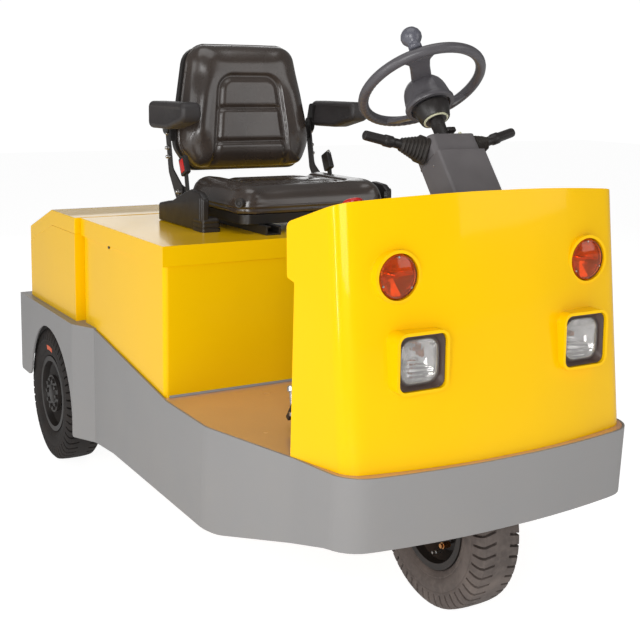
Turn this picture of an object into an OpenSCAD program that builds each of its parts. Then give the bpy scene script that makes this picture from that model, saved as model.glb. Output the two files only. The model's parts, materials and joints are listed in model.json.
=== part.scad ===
// Three-wheeled electric tow tractor with one steered front wheel.
// Origin on the ground at the middle of the length and width, nose towards -Y, +Z up.

/* [Overall] */
// Length from the nose of the skirt to the mouth of the tow jaw
total_len = 1980; // [1900:10:2080]
// Width across the rear fenders
total_w = 1050; // [1020:5:1100]
// Height of the deck plate's top
deck_z = 413; // [405:1:430]
// Thickness of the body plates
plate_t = 5; // [4:0.5:8]

/* [Wheels] */
// Outer diameter of the tyres
tyre_od = 415; // [400:1:418]
// Width of the tyres
tyre_w = 112; // [96:1:116]
// Radius of the rim's flange
flange_r = 118; // [112:1:124]
// Distance from the nose to the front axle
front_overhang = 230; // [229:1:242]
// Distance from the rear axle to the mouth of the tow jaw
rear_overhang = 343; // [325:1:360]
// Distance of a rear tyre's middle plane inside the fender's outer wall
tyre_in = 71; // [68:1:78]

/* [Skirt] */
// Distance of the skirt's side inside the fender's outer wall
skirt_in = 38; // [30:1:43]
// Distance of the nose's corners inside the skirt's side
nose_in = 102; // [87:1:117]
// Radius of the nose in plan
nose_r = 1900; // [1500:50:3000]
// Lean of the nose in degrees, towards its lower edge
nose_lean = 4; // [0:0.5:4]
// Height of the skirt's lower edge along the sides
skirt_low = 165; // [150:1:200]
// Height of the skirt's lower edge at the nose
nose_low = 255; // [245:1:290]

/* [Cowl] */
// Distance from the nose to the foot of the cowl
cowl_setback = 16; // [10:1:30]
// Distance of the cowl's foot inside the skirt's side, at its rear edge
cowl_in = 74; // [67:1:87]
// Backward lean of the cowl in degrees
cowl_lean = 6; // [0:0.5:10]
// Height of the cowl's top edge at the front
cowl_top = 972; // [940:1:1000]
// Fall of the cowl's top edge towards the seat in degrees
top_fall = 20; // [10:1:25]
// Radius of the cowl's front in plan
cowl_r = 1500; // [1200:50:2500]
// Radius of the cowl's front corners
cowl_corner = 55; // [25:1:60]

/* [Lamps] */
// Width and height of a headlamp
headlamp_w = 114; // [90:1:124]
// Distance of a headlamp's middle inside the nose's corner
headlamp_in = 168; // [150:1:190]
// Height of the headlamps
headlamp_z = 636; // [600:1:680]
// Radius of a turn lamp
turn_r = 48; // [36:1:55]
// Distance of a turn lamp's middle inside the nose's corner
turn_in = 132; // [110:1:145]
// Height of the turn lamps
turn_z = 807; // [770:1:840]
// Width of the yellow bezel round a lamp
bezel_w = 7; // [4:0.5:10]

/* [Battery box] */
// Distance of the battery box's side inside the skirt's side
box_in = 7; // [6:0.5:17]
// Distance from the box's front wall to the rear axle
box_front = 883; // [860:1:930]
// Distance from the lid's hinge to the rear axle
hinge_front = 257; // [237:1:277]
// Height of the lid's top
lid_top = 793; // [770:1:820]
// Depth of the lid's side flange
lid_h = 51; // [40:1:60]
// Overhang of the lid past the box
lid_over = 5; // [3:0.5:8]

/* [Rear hood] */
// Distance of the hood's side inside the fender's outer wall
hood_in = 25; // [17:1:35]
// Distance from the rear axle to the hood's rear face
hood_back = 209; // [180:1:230]
// Height of the fender's top, on which the hood stands
fender_top = 488; // [470:1:500]
// Height of the hood's rear edge
hood_rear_z = 716; // [690:1:740]
// Length of the hood's flat top
hood_flat = 225; // [180:5:280]
// Radius of the wheel arch
arch_r = 243; // [225:1:250]

/* [Seat] */
// Half width of the seat cushion
seat_half = 225; // [200:1:228]
// Height of the cushion's rear edge
seat_top = 926; // [905:1:935]
// Height of the backrest's top
back_top = 1310; // [1250:2:1310]
// Lean of the backrest in degrees
back_lean = 6; // [3:0.5:12]
// Distance from the cushion's side to the middle of an armrest
arm_out = 45; // [40:1:60]

/* [Steering] */
// Radius of the steering wheel's rim, centre line
rim_r = 142; // [125:1:160]
// Radius of the rim's section
rim_grip = 12; // [9:0.5:14]
// Distance of the steering wheel's middle behind the front axle
wheel_back = 134; // [120:1:150]
// Height of the steering wheel's middle
wheel_z = 1186; // [1150:1:1200]
// Lean of the steering column in degrees
column_lean = 37; // [30:0.5:42]
// Half width of the console
console_half = 64; // [56:1:72]

/* [Hidden] */

// Clearances and common small sizes
seat_gap = 0.3;          // between faces that rest on each other
run_gap = 0.05;          // radial play of a pin in its bore
move_gap = 6;            // between pieces that move past each other
cut = 1;                 // how far a cutting shape passes a face
far = 3000;              // size of a cutting block

// Places that follow from the sizes
nose_y = -total_len / 2;
tail_y = total_len / 2;
front_y = nose_y + front_overhang;
rear_y = tail_y - rear_overhang;
cab_y = nose_y + 216;    // from here the cab's parts are placed
seat_y = rear_y - 647;   // from here the seat's parts are placed
box_y0 = rear_y - box_front;
hinge_y = rear_y - hinge_front;
hood_rear = rear_y + hood_back;
axle_z = tyre_od / 2;
fender_out = total_w / 2;
skirt_half = fender_out - skirt_in;
nose_half = skirt_half - nose_in;
cowl_half = skirt_half - cowl_in;
box_half = skirt_half - box_in;
hood_half = fender_out - hood_in;
headlamp_x = nose_half - headlamp_in;
turn_x = nose_half - turn_in;
arm_x = seat_half + arm_out;
house_x = fender_out - 153; // inner wall of the wheel house
rear_x = fender_out - tyre_in;
cowl_y = nose_y + cowl_setback;
cowl_rear = cab_y + 11;
cowl_slope = tan(top_fall);
cowl_mid = cowl_y + (cowl_top - deck_z) * tan(cowl_lean);

yellow = [0.99, 0.80, 0.02];
grey = [0.60, 0.60, 0.60];
dark = [0.30, 0.29, 0.29];
black = [0.09, 0.085, 0.08];
steel = [0.66, 0.66, 0.68];

// Arc that rounds corner b between a and c with radius r
function corner_arc(a, b, c, r, n) =
    let (u = (a - b) / norm(a - b), v = (c - b) / norm(c - b), half = acos(u * v) / 2,
         o = b + (u + v) / norm(u + v) * r / sin(half), d = r / tan(half),
         s = b + u * d - o, e = b + v * d - o, a0 = atan2(s.y, s.x), t = atan2(e.y, e.x) - a0,
         sweep = t > 180 ? t - 360 : t < -180 ? t + 360 : t)
    [for (i = [0:n]) o + r * [cos(a0 + sweep * i / n), sin(a0 + sweep * i / n)]];

// Closed outline from rows of [x, y, corner radius]
function rounded(rows, n = 6) =
    let (k = len(rows))
    [for (i = [0:k - 1])
        let (a = rows[(i + k - 1) % k], b = rows[i], c = rows[(i + 1) % k])
        each (b.z == 0 ? [[b.x, b.y]]
            : corner_arc([a.x, a.y], [b.x, b.y], [c.x, c.y], b.z, n))];

// The same rows moved inwards by t, for an outline that runs clockwise
function inset(rows, t) =
    let (k = len(rows))
    [for (i = [0:k - 1])
        let (a = rows[(i + k - 1) % k], b = rows[i], c = rows[(i + 1) % k],
             p = [b.x, b.y], u = ([a.x, a.y] - p) / norm([a.x, a.y] - p),
             v = ([c.x, c.y] - p) / norm([c.x, c.y] - p), m = (u + v) / norm(u + v),
             side = cross(u, v) > 0 ? 1 : -1, q = p + side * m * t / sin(acos(u * v) / 2))
        [q.x, q.y, max(0, b.z - side * t)]];

// Rows for the right half, in order from the rear to the middle, mirrored to both halves
function both(rows) = concat(rows, [for (i = [len(rows) - 1:-1:0]) [-rows[i].x, rows[i].y, rows[i].z]]);

// Points of a front curve of radius r through [0, y], from x = reach inwards
function bow(r, y, reach, n = 5) =
    let (flat = sqrt(r * r - pow(reach / n, 2)))
    [for (i = [0:n - 1]) let (x = reach * (1 - i / n)) [x, y + flat - sqrt(r * r - x * x), 0]];

// Extrudes a side view drawn as [y, z] across x
module across(x0, x1) {
    translate([x0, 0, 0]) rotate([90, 0, 90]) linear_extrude(x1 - x0) children();
}

module pair() {
    children();
    mirror([1, 0, 0]) children();
}

module block(low, high) {
    translate(low) cube(high - low);
}

// Round bar along x
module bar_x(x0, x1, y, z, r, sides = 48) {
    translate([x0, y, z]) rotate([0, 90, 0]) cylinder(h = x1 - x0, r = r, $fn = sides);
}

// Round bar along y
module bar_y(x, y0, y1, z, r, sides = 48) {
    translate([x, y1, z]) rotate([90, 0, 0]) cylinder(h = y1 - y0, r = r, $fn = sides);
}

// Chassis

rail_x = house_x - 42;    // middle of a chassis rail
rail_w = 50;
rail_h = 90;
rail_top = deck_z - 8;   // the deck plate lies on the rails
rail_front = cab_y + 235;
head_x = 175;            // half width of the steering head's box

skirt_bend = cab_y + 280;
skirt_rear = rear_y - 371;
bend_half = nose_half + 28;
nose_corner = 80;
skirt_rows = both(concat(
    [[skirt_half, skirt_rear + 80, 0], [skirt_half, skirt_bend, 150],
     [bend_half, cab_y - 4, 200],
     [nose_half, nose_y + nose_r - sqrt(nose_r * nose_r - nose_half * nose_half), nose_corner]],
    bow(nose_r, nose_y, nose_half - 0.95 * nose_corner)));

rise_y = box_y0 - 28;

// Side view of the skirt: [y, z, corner radius]
skirt_side = [
    [skirt_rear, skirt_low - 12, 0], [skirt_rear - 150, skirt_low, 60],
    [cab_y + 250, skirt_low, 200], [cab_y - 110, nose_low - 3, 150], [nose_y - cut, nose_low, 0],
    [nose_y - cut, deck_z, 0], [rise_y, deck_z, 0], [skirt_rear, fender_top - 2, 0]];

// Wall that leans back under the nose, between the lines of the side view
module skirt() {
    color(grey) intersection() {
        translate([0, nose_y, deck_z]) rotate([nose_lean, 0, 0]) translate([0, -nose_y, -2 * deck_z])
            linear_extrude(3 * deck_z) difference() {
                polygon(rounded(skirt_rows));
                polygon(rounded(inset(skirt_rows, plate_t)));
            }
        across(-far / 2, far / 2) polygon(rounded(skirt_side));
    }
}

// Plan of a fender's outer wall: [x, y, corner radius]
fender_bend = skirt_rear + 88;
tail_wall = rear_y + 272;
arch_y = rear_y - 34;
arch_z = axle_z - 19;
arch_back = arch_r - 47; // the arch is tighter behind its top
tail_low = axle_z + 24;  // lower edge of the fender's tail
tail_in = tyre_in - tyre_w / 2 - plate_t - move_gap; // how far the fender closes in towards its tail
plate_y0 = tail_wall - 12;

// Side view of the arch, from the front over the top to the tail
arch_rows = [for (i = [0:24])
    let (a = 180 - i * 6.4, reach = a > 90 ? arch_r : arch_back)
    [arch_y + reach * cos(a), arch_z + arch_r * sin(a), 0]];

module fender() {
    outer = [[skirt_half, skirt_rear], [fender_out, fender_bend], [fender_out - tail_in, tail_wall],
        [fender_out - tail_in - plate_t, tail_wall], [fender_out - plate_t, fender_bend + 1],
        [skirt_half - plate_t, skirt_rear]];
    // outer wall with its arch and cut-away lower edge
    intersection() {
        linear_extrude(far) polygon(outer);
        across(0, far) polygon(rounded(concat(
            [[skirt_rear - cut, skirt_low - 12, 0], [arch_y - arch_r + 2, skirt_low - 15, 10]],
            arch_rows,
            [[arch_y + arch_back - 3, tail_low, 36], [tail_wall, tail_low, 12],
             [tail_wall, fender_top, 0], [skirt_rear - cut, fender_top, 0]])));
    }
    // top of the wheel house
    translate([0, 0, fender_top - plate_t]) linear_extrude(plate_t)
        polygon([[house_x, skirt_rear], [skirt_half - cut, skirt_rear], [fender_out - cut, fender_bend],
            [fender_out - tail_in - cut, plate_y0], [house_x, plate_y0]]);
    // inner wall of the wheel house
    block([house_x - plate_t, skirt_rear, axle_z + 110], [house_x, plate_y0, fender_top]);
}

module fenders() {
    color(grey) pair() fender();
}

// Open well over the front wheel
well_r = 150;
deck_gap = 0.9;          // between the deck's edge and the leaning skirt

module deck() {
    color([0.45, 0.40, 0.36]) difference() {
        union() {
            intersection() {
                translate([0, 0, rail_top]) linear_extrude(deck_z - rail_top)
                    polygon(rounded(inset(skirt_rows, plate_t + deck_gap)));
                block([-far, -far, 0], [far, skirt_rear, far]);
            }
            block([-house_x + plate_t, skirt_rear - 100, rail_top], [house_x - plate_t, hood_y0 + 30, deck_z]);
        }
        translate([0, front_y, 0]) cylinder(h = far, r = well_r, $fn = 96);
    }
}

module chassis_frame() {
    color(dark) {
        pair() {
            // channel rails under the deck
            difference() {
                block([rail_x - rail_w / 2, rail_front, rail_top - rail_h],
                    [rail_x + rail_w / 2, tail_wall - 14, rail_top]);
                block([rail_x - rail_w, rail_front - cut, rail_top - rail_h + plate_t],
                    [rail_x + rail_w / 2 - plate_t, tail_wall, rail_top - plate_t]);
            }
            // outriggers to the skirt
            for (row = [[cab_y + 300, 6], [seat_y - 40, 0]])
                block([rail_x + rail_w / 2, row[0] - 20, rail_top - 60],
                    [skirt_half - plate_t - seat_gap - row[1], row[0] + 20, rail_top]);
        }
        // cross members, with a channel's open side to the rear
        for (share = [0, 1 / 3, 1])
            let (y = rail_front + 20 + share * (rear_y - 270 - rail_front)) difference() {
                block([-rail_x + rail_w / 2, y - 25, rail_top - 80],
                    [rail_x - rail_w / 2, y + 25, rail_top]);
                block([-far, y - 25 + plate_t, rail_top - 80 + plate_t],
                    [far, y + 25 + cut, rail_top - plate_t]);
            }
        // spring pads over the rear axle
        pair() block([rail_x - 100, rear_y - 50, axle_z + 58],
            [rail_x - rail_w / 2 + plate_t, rear_y + 50, rail_top]);
    }
}

module rear_plate() {
    half = fender_out - tail_in - plate_t;
    color(grey) {
        difference() {
            block([-half, plate_y0, axle_z + 30], [half, tail_wall, fender_top]);
            pair() block([house_x + 40, rear_y, 0], [far, far, axle_z + 70]);
        }
        // ledge behind the hood
        block([-house_x + plate_t, hood_rear - 24, fender_top - plate_t],
            [house_x - plate_t, plate_y0 + cut, fender_top]);
    }
}

// Battery compartment

box_y1 = hinge_y - 12;
box_top = lid_top - lid_h - seat_gap;

module battery_box() {
    color(yellow) {
        difference() {
            block([-box_half, box_y0, deck_z], [box_half, box_y1, box_top]);
            block([-box_half + plate_t, box_y0 + plate_t, deck_z - cut],
                [box_half - plate_t, box_y1 - plate_t, far]);
            // room for the wheel houses
            pair() block([house_x - plate_t, skirt_rear, 0], [far, far, fender_top]);
        }
    }
}

battery_gap = 40;

module battery() {
    cells_x = 4;
    cells_y = 3;
    low = [-box_half + battery_gap, box_y0 + battery_gap, deck_z];
    high = [box_half - battery_gap, skirt_rear - 20, box_top - 60];
    pitch = [(high.x - low.x) / cells_x, (high.y - low.y) / cells_y];
    color(dark) {
        block(low, high);
        // filler caps, one for each cell
        for (i = [0:cells_x - 1], j = [0:cells_y - 1])
            translate([low.x + pitch.x * (i + 0.5), low.y + pitch.y * (j + 0.5), high.z])
                cylinder(h = 14, r = 16, $fn = 32);
    }
}

hood_y0 = hinge_y + 6;
hood_break = hood_y0 + hood_flat;
cover_h = 48;            // depth of the hood cover's side

// Side view of the hood's top, lowered by d: rows of [y, z]
function hood_line(d, y0, y1) =
    [[y0, lid_top - d], [hood_break, lid_top - d],
     [y1, lid_top - d - (y1 - hood_break) * (lid_top - hood_rear_z) / (hood_rear - hood_break)]];

module hood_shape(d, low, y0, y1, half) {
    across(-half, half) polygon(concat([[y1, low], [y0, low]], hood_line(d, y0, y1)));
}

module rear_hood() {
    color(yellow) difference() {
        hood_shape(cover_h, fender_top, hood_y0, hood_rear, hood_half);
        hood_shape(-cover_h, fender_top - cut, hood_y0 + plate_t, hood_rear - plate_t, hood_half - plate_t);
    }
    // fixed knuckles and pins of the lid's hinge
    color(steel) pair() translate([hinge_x, hinge_y, hinge_z]) {
        for (s = [-1, 1]) translate([s * (knuckle_w + 1), 0, 0]) difference() {
            union() {
                rotate([0, 90, 0]) cylinder(h = knuckle_w, r = knuckle_r, center = true, $fn = 32);
                block([-knuckle_w / 2, 0, -55], [knuckle_w / 2, hood_y0 - hinge_y + 0.5, 2]);
            }
        }
        rotate([0, 90, 0]) cylinder(h = 3 * knuckle_w + 2, r = hinge_pin, center = true, $fn = 32);
    }
}

module hood_cover() {
    color(yellow) difference() {
        hood_shape(0, fender_top, hood_y0 - 2, hood_rear, hood_half);
        hood_shape(plate_t, 0, hood_y0 + plate_t, hood_rear - plate_t, hood_half - plate_t);
        hood_shape(cover_h, 0, hood_y0 - 20, hood_rear + 20, far);
        // room for the lid's hinges
        pair() block([hinge_x - 1.6 * knuckle_w, hood_y0 - 20, 0],
            [hinge_x + 1.6 * knuckle_w, hood_y0 + 3, far]);
    }
}

// Lid hinge
hinge_z = lid_top - 7;
hinge_x = box_half - 180;
hinge_pin = 2.5;
knuckle_r = 5;
knuckle_w = 36;

module battery_lid() {
    lid_y0 = box_y0 - lid_over;
    lid_y1 = hinge_y - move_gap;
    lid_half = box_half + lid_over;
    wall = lid_over + plate_t - 1;
    color(yellow) difference() {
        union() {
            difference() {
                block([-lid_half, lid_y0, lid_top - lid_h], [lid_half, lid_y1, lid_top]);
                block([-lid_half + wall, lid_y0 + wall, lid_top - lid_h - cut],
                    [lid_half - wall, lid_y1 - wall, lid_top - plate_t]);
            }
            // moving knuckle of each hinge and its leaf
            pair() translate([hinge_x, hinge_y, hinge_z]) {
                rotate([0, 90, 0]) cylinder(h = knuckle_w, r = knuckle_r, center = true, $fn = 32);
                block([-knuckle_w / 2, -move_gap - 1, -3], [knuckle_w / 2, 0, 3]);
            }
        }
        pair() translate([hinge_x, hinge_y, hinge_z]) rotate([0, 90, 0])
            cylinder(h = 2 * knuckle_w, r = hinge_pin + run_gap, center = true, $fn = 32);
    }
}

// Cowl and what it carries

cowl_foot = cowl_rear + 60;
cowl_taper = 42 / 165;   // how fast the sides close towards the nose
cowl_nose_half = cowl_half - (cowl_rear - cowl_y - 46) * cowl_taper;
cowl_rows = both(concat(
    [[cowl_half + 60 * cowl_taper, cowl_foot, 0],
     [cowl_nose_half, cowl_y + cowl_r - sqrt(cowl_r * cowl_r - cowl_nose_half * cowl_nose_half), cowl_corner]],
    bow(cowl_r, cowl_y, cowl_nose_half - 0.85 * cowl_corner)));

// Leans a shape with the cowl, hinged at the cowl's foot
module leaning() {
    translate([0, cowl_y, deck_z]) rotate([-cowl_lean, 0, 0]) translate([0, -cowl_y, -deck_z]) children();
}

// Height of the cowl's top plane at y, lowered by d
function top_z(y, d = 0) = cowl_top - d - (y - cowl_mid) * cowl_slope;

// Everything below the cowl's top plane and ahead of y
module below_top(y, d = 0, low = deck_z) {
    across(-far, far) polygon([[nose_y - 50, low], [y, low], [y, top_z(y, d)],
        [nose_y - 50, top_z(nose_y - 50, d)]]);
}

module cowl_solid(t) {
    leaning() translate([0, 0, deck_z - 100]) linear_extrude(far / 4) polygon(rounded(inset(cowl_rows, t)));
}

wing = 22;               // how far the upper rear edge stands back
wing_z = 782;

module cowl_side() {
    across(-far, far) polygon(rounded([
        [nose_y - 50, deck_z + seat_gap, 0], [cowl_rear, deck_z + seat_gap, 0], [cowl_rear + 4, wing_z, 4],
        [cowl_rear + 4 + wing, wing_z + 8, 6], [cowl_rear + 10 + wing, top_z(cowl_rear + 10 + wing), 18],
        [nose_y - 50, top_z(nose_y - 50), 0]]));
}

lamp_y = cab_y - 184;  // front plane of the headlamps
turn_y = cab_y - 140;  // front plane of the turn lamps
lamp_deep = 40;
lamp_round = 16;

module square_lamp(w, r) {
    h = w / 2;
    polygon(rounded([[h, h, r], [-h, h, r], [-h, -h, r], [h, -h, r]]));
}

// Front view shape pushed along y from y0 to y1
module facing(x, z, y0, y1) {
    translate([x, y1, z]) rotate([90, 0, 0]) linear_extrude(y1 - y0) children();
}

module lamp_openings() {
    pair() {
        facing(headlamp_x, headlamp_z, lamp_y - 60, lamp_y + 80) square_lamp(headlamp_w + 2 * seat_gap, lamp_round);
        bar_y(turn_x, turn_y - 60, turn_y + 80, turn_z, turn_r + seat_gap, 64);
    }
}

module cowl() {
    color(yellow) difference() {
        union() {
            intersection() {
                difference() {
                    cowl_solid(0);
                    cowl_solid(plate_t);
                }
                cowl_side();
            }
            pair() {
                facing(headlamp_x, headlamp_z, lamp_y - 6, lamp_y + lamp_deep)
                    square_lamp(headlamp_w + 2 * bezel_w, lamp_round + bezel_w);
                bar_y(turn_x, turn_y - 8, turn_y + 30, turn_z, turn_r + bezel_w, 64);
            }
        }
        lamp_openings();
    }
}

dash_drop = 12;          // how far the dash lies below the cowl's edge

module dash_panel() {
    color(dark) difference() {
        intersection() {
            cowl_solid(plate_t + seat_gap);
            below_top(cowl_rear + 4 + wing - 8, dash_drop);
        }
        below_top(far, dash_drop + plate_t, 0);
        translate([0, wheel_y, wheel_z]) rotate([-column_lean, 0, 0]) translate([0, 0, -far / 4])
            cylinder(h = far / 4, r = 24, $fn = 48);
    }
}

module cowl_back() {
    color(dark) difference() {
        intersection() {
            cowl_solid(plate_t + seat_gap);
            below_top(cowl_rear - 4, dash_drop + plate_t + seat_gap, deck_z + seat_gap);
        }
        block([-far, -far, 0], [far, cowl_rear - 4 - plate_t, far]);
        block([-head_x - 16, -far, 0], [head_x + 16, far, deck_z + 134]);
    }
}

// Headlamp: dark frame and deep reflector, with a clear lens set in it
lens_t = 4;
frame_w = 9;

module headlamps() {
    color(dark) pair() difference() {
        facing(headlamp_x, headlamp_z, lamp_y, lamp_y + lamp_deep) square_lamp(headlamp_w, lamp_round);
        facing(headlamp_x, headlamp_z, lamp_y - cut, lamp_y + lens_t + 2)
            square_lamp(headlamp_w - 2 * frame_w, 10);
        translate([headlamp_x, lamp_y + lens_t - 6, headlamp_z]) rotate([-90, 0, 0])
            cylinder(h = lamp_deep - 12, r1 = 40, r2 = 14, $fn = 48);
    }
}

module headlamp_lenses() {
    color([0.85, 0.87, 0.88]) pair()
        facing(headlamp_x, headlamp_z, lamp_y + 1.7, lamp_y + lens_t + 1.7)
            square_lamp(headlamp_w - 2 * frame_w - 0.6, 9.5);
}

module turn_lamps() {
    color([0.80, 0.16, 0.04]) pair() {
        bar_y(turn_x, turn_y, turn_y + 24, turn_z, turn_r, 64);
        intersection() {
            translate([turn_x, turn_y + 100, turn_z]) sphere(r = 111, $fn = 64);
            bar_y(turn_x, turn_y - 14, turn_y + cut, turn_z, turn_r - 3, 64);
        }
    }
}

// Steering head over the front wheel
crown_z = tyre_od + 6;   // underside of the fork's crown
crown_t = 12;
head_z = crown_z + crown_t + move_gap + 1;
head_t = 14;
stem_r = 30;
head_y0 = front_y - 130;
head_y1 = front_y + 136;
head_tube = 70;

module steering_head() {
    color(dark) difference() {
        union() {
            block([-head_x, head_y0, head_z], [head_x, head_y1, head_z + head_t]);
            pair() block([head_x - 10, head_y0, deck_z + seat_gap], [head_x, head_y1, head_z + head_t]);
            translate([0, front_y, head_z]) cylinder(h = head_tube, r = stem_r + 20, $fn = 64);
        }
        translate([0, front_y, head_z - cut]) cylinder(h = far, r = stem_r + run_gap, $fn = 64);
    }
}

module head_cover() {
    y0 = cowl_rear - 3;
    y1 = head_y1 + 10;
    z1 = deck_z + 130;
    half = head_x + 12;
    color(grey) difference() {
        across(-half, half) polygon(rounded([
            [y0, deck_z + seat_gap, 0], [y1, deck_z + seat_gap, 0], [y1, z1 - 50, 20], [y1 - 60, z1, 20],
            [y0, z1, 0]]));
        across(-half + 3, half - 3) polygon([
            [y0 - cut, 0], [y1 - 3, 0], [y1 - 3, z1 - 52], [y1 - 62, z1 - 3], [y0 - cut, z1 - 3]]);
    }
}

// Steering column, drawn in a frame with its origin at the wheel's middle and z along the column
wheel_y = front_y + wheel_back;
hub_low = -60;           // underside of the wheel's hub
collar_low = -94;
console_top = -155;
console_step = -203;

module on_column() {
    translate([0, wheel_y, wheel_z]) rotate([-column_lean, 0, 0]) children();
}

module console() {
    front_up = -34;
    front_low = -44;
    back_up = 50;
    back_low = 43;
    color([0.36, 0.35, 0.35]) difference() {
        on_column() {
            difference() {
                union() {
                    translate([0, 0, console_step]) linear_extrude(console_top - console_step)
                        polygon(rounded([[console_half, front_up, 14], [console_half, back_up, 20],
                            [-console_half, back_up, 20], [-console_half, front_up, 14]]));
                    translate([0, 0, -420]) linear_extrude(console_step + 420)
                        polygon(rounded([[console_half + 1, front_low, 6], [console_half + 1, back_low, 12],
                            [-console_half - 1, back_low, 12], [-console_half - 1, front_low, 6]]));
                }
                translate([0, 0, -430]) linear_extrude(console_step + 420)
                    polygon([[console_half - 4, front_low + 5], [console_half - 4, back_low - 5],
                        [-console_half + 4, back_low - 5], [-console_half + 4, front_low + 5]]);
                translate([0, 0, console_step - 60]) cylinder(h = 200, r = column_r + seat_gap, $fn = 48);
            }
        }
        // seated on the dash panel's slope
        below_top(far / 2, dash_drop - seat_gap, 0);
    }
}

column_r = 16;
shaft_r = 9;

module steering_column() {
    color(black) on_column() difference() {
        union() {
            // column tube down through the dash to the steering gear
            translate([0, 0, -430]) cylinder(h = 430 + collar_low + 2, r = column_r, $fn = 48);
            translate([0, 0, collar_low])
                cylinder(h = hub_low - collar_low - 1.5, r1 = 33, r2 = 43, $fn = 64);
            translate([0, 0, collar_low - 4]) cylinder(h = 5, r = 25, $fn = 64);
        }
        translate([0, 0, collar_low - 60]) cylinder(h = 200, r = shaft_r + run_gap, $fn = 48);
    }
}

spoke_turn = -34;        // the wide spoke stands this far from straight ahead
spoke_fork = 141;        // the other two spokes stand this far from the wide one
wide_spoke = 23;         // half width of the wide spoke
hub_r = 58;

module steering_wheel() {
    color([0.25, 0.24, 0.25]) on_column() {
        rotate_extrude($fn = 96) translate([rim_r, 0]) circle(r = rim_grip, $fn = 24);
        // bell-shaped hub, open below round the collar
        difference() {
            rotate_extrude($fn = 64) polygon([[0, hub_low + 12], [44, hub_low + 12], [46, hub_low],
                [hub_r, hub_low + 2], [hub_r, hub_low + 38], [50, -6], [34, 8], [0, 10]]);
            translate([0, 0, hub_low - cut]) cylinder(h = 10, r = 46.5, $fn = 64);
        }
        // shaft in the column
        translate([0, 0, collar_low - 40]) cylinder(h = 130, r = shaft_r, $fn = 48);
        // wide spoke, flared into the rim
        rotate([0, 0, 180 + spoke_turn]) translate([0, 0, -10]) linear_extrude(12) polygon(rounded([
            [wide_spoke, 30, 0], [wide_spoke - 2, rim_r - 20, 16], [wide_spoke + 14, rim_r - 6, 0],
            [-wide_spoke - 14, rim_r - 6, 0], [-wide_spoke + 2, rim_r - 20, 16], [-wide_spoke, 30, 0]]));
        // narrow spokes rise from the foot of the hub
        for (side = [-1, 1])
            rotate([0, 0, 180 + spoke_turn + side * spoke_fork]) translate([0, hub_r - 12, hub_low + 8])
                rotate([atan2(-hub_low - 10, rim_r - hub_r), 0, 0]) linear_extrude(10) polygon([
                    [-14, 0], [14, 0], [11, rim_r - hub_r + 18], [-11, rim_r - hub_r + 18]]);
    }
}

module spinner_knob() {
    color([0.28, 0.27, 0.28]) on_column() rotate([0, 0, 180 + spoke_turn]) translate([0, rim_r, 0])
        rotate_extrude($fn = 48) polygon(concat(
            [[0, rim_grip + 0.2], [15, rim_grip + 0.2], [15, rim_grip + 6], [13, rim_grip + 13]],
            [for (a = [-50:20:90]) [24 * cos(a), 47 + 21 * sin(a)]]));
}

// Levers left and right of the console, each from a root point towards its tip
lever_root = [console_half, 8.5, -169];
lever_tip = [console_half + 142, 1, -131];
boot_r = 30;

module along_lever() {
    d = lever_tip - lever_root;
    on_column() translate(lever_root) rotate([0, acos(d.z / norm(d)), atan2(d.y, d.x)]) children();
}

lever_len = norm(lever_tip - lever_root);
boot_ribs = 7;
boot_pitch = 8;

module lever_boots() {
    color(black) pair() difference() {
        along_lever() rotate_extrude($fn = 40) polygon(concat([[0, -14], [boot_r, -14]],
            [for (i = [0:boot_ribs - 1]) let (r = boot_r - i * 2.4, z = i * boot_pitch) each [
                [r, z], [r, z + 3.5], [r - 5, z + 5], [r - 5, z + boot_pitch - 1]]],
            [[0, boot_ribs * boot_pitch]]));
        on_column() block([-far, -far, -far], [console_half + seat_gap, far, far]);
    }
}

boot_len = boot_ribs * boot_pitch;

module control_levers() {
    color(black) pair() along_lever() {
        translate([0, 0, boot_len + seat_gap]) cylinder(h = 30, r1 = 11.5, r2 = 10.5, $fn = 32);
        translate([0, 0, boot_len + 20]) cylinder(h = 20, r = 13.5, $fn = 32);
        translate([0, 0, boot_len + 30]) cylinder(h = lever_len - boot_len - 30, r = 11, $fn = 32);
    }
}

button_x = -nose_half + 92;
button_y = cab_y - 50;

module stop_button() {
    translate([button_x, button_y, top_z(button_y, dash_drop - seat_gap)]) rotate([-top_fall, 0, 0]) {
        color([0.75, 0.75, 0.74]) cylinder(h = 18, r = 15, $fn = 48);
        color([0.8, 0.1, 0.08]) translate([0, 0, 18]) rotate_extrude($fn = 48)
            polygon([[0, 0], [12, 0], [12, 8], [22, 12], [22, 17], [18, 22], [0, 24]]);
    }
}

// Pedals hang from the closing panel behind the cowl
module pedal(x, w, h, y, z) {
    top = cowl_rear - 4 + seat_gap;
    translate([x, 0, 0]) {
        // arm from the bracket to the pad
        across(-6, 6) polygon([[top + 14, z + 130], [top + 26, z + 130], [y, z + 6], [y - 8, z - 6]]);
        block([-18, top, z + 112], [18, top + 5, z + 150]);
        difference() {
            block([-14, top + 4, z + 118], [14, top + 30, z + 144]);
            block([-7, top + 8, z + 117], [7, top + 31, z + 145]);
        }
        bar_x(-16, 16, top + 20, z + 131, 4, 24);
        translate([0, y, z]) rotate([35, 0, 0]) block([-w / 2, -6, -h / 2], [w / 2, 6, h / 2]);
    }
}

module accelerator_pedal() {
    color(black) pedal(-head_x - 125, 60, 100, cab_y + 152, deck_z + 65);
}

module brake_pedal() {
    color(black) pedal(-head_x - 53, 62, 56, cab_y + 158, deck_z + 73);
}

// Running gear

module fork_leg(s) {
    x0 = s * leg_x - leg_t / 2;
    bar_x(x0, x0 + leg_t, front_y, axle_z, 46);
    translate([0, front_y, 0]) across(x0, x0 + leg_t)
        polygon([[-46, axle_z], [46, axle_z], [70, crown_z + crown_t], [-70, crown_z + crown_t]]);
}

leg_t = 14;
leg_x = tyre_w / 2 + move_gap + leg_t / 2 + 1;
axle_r = 15;

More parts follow.
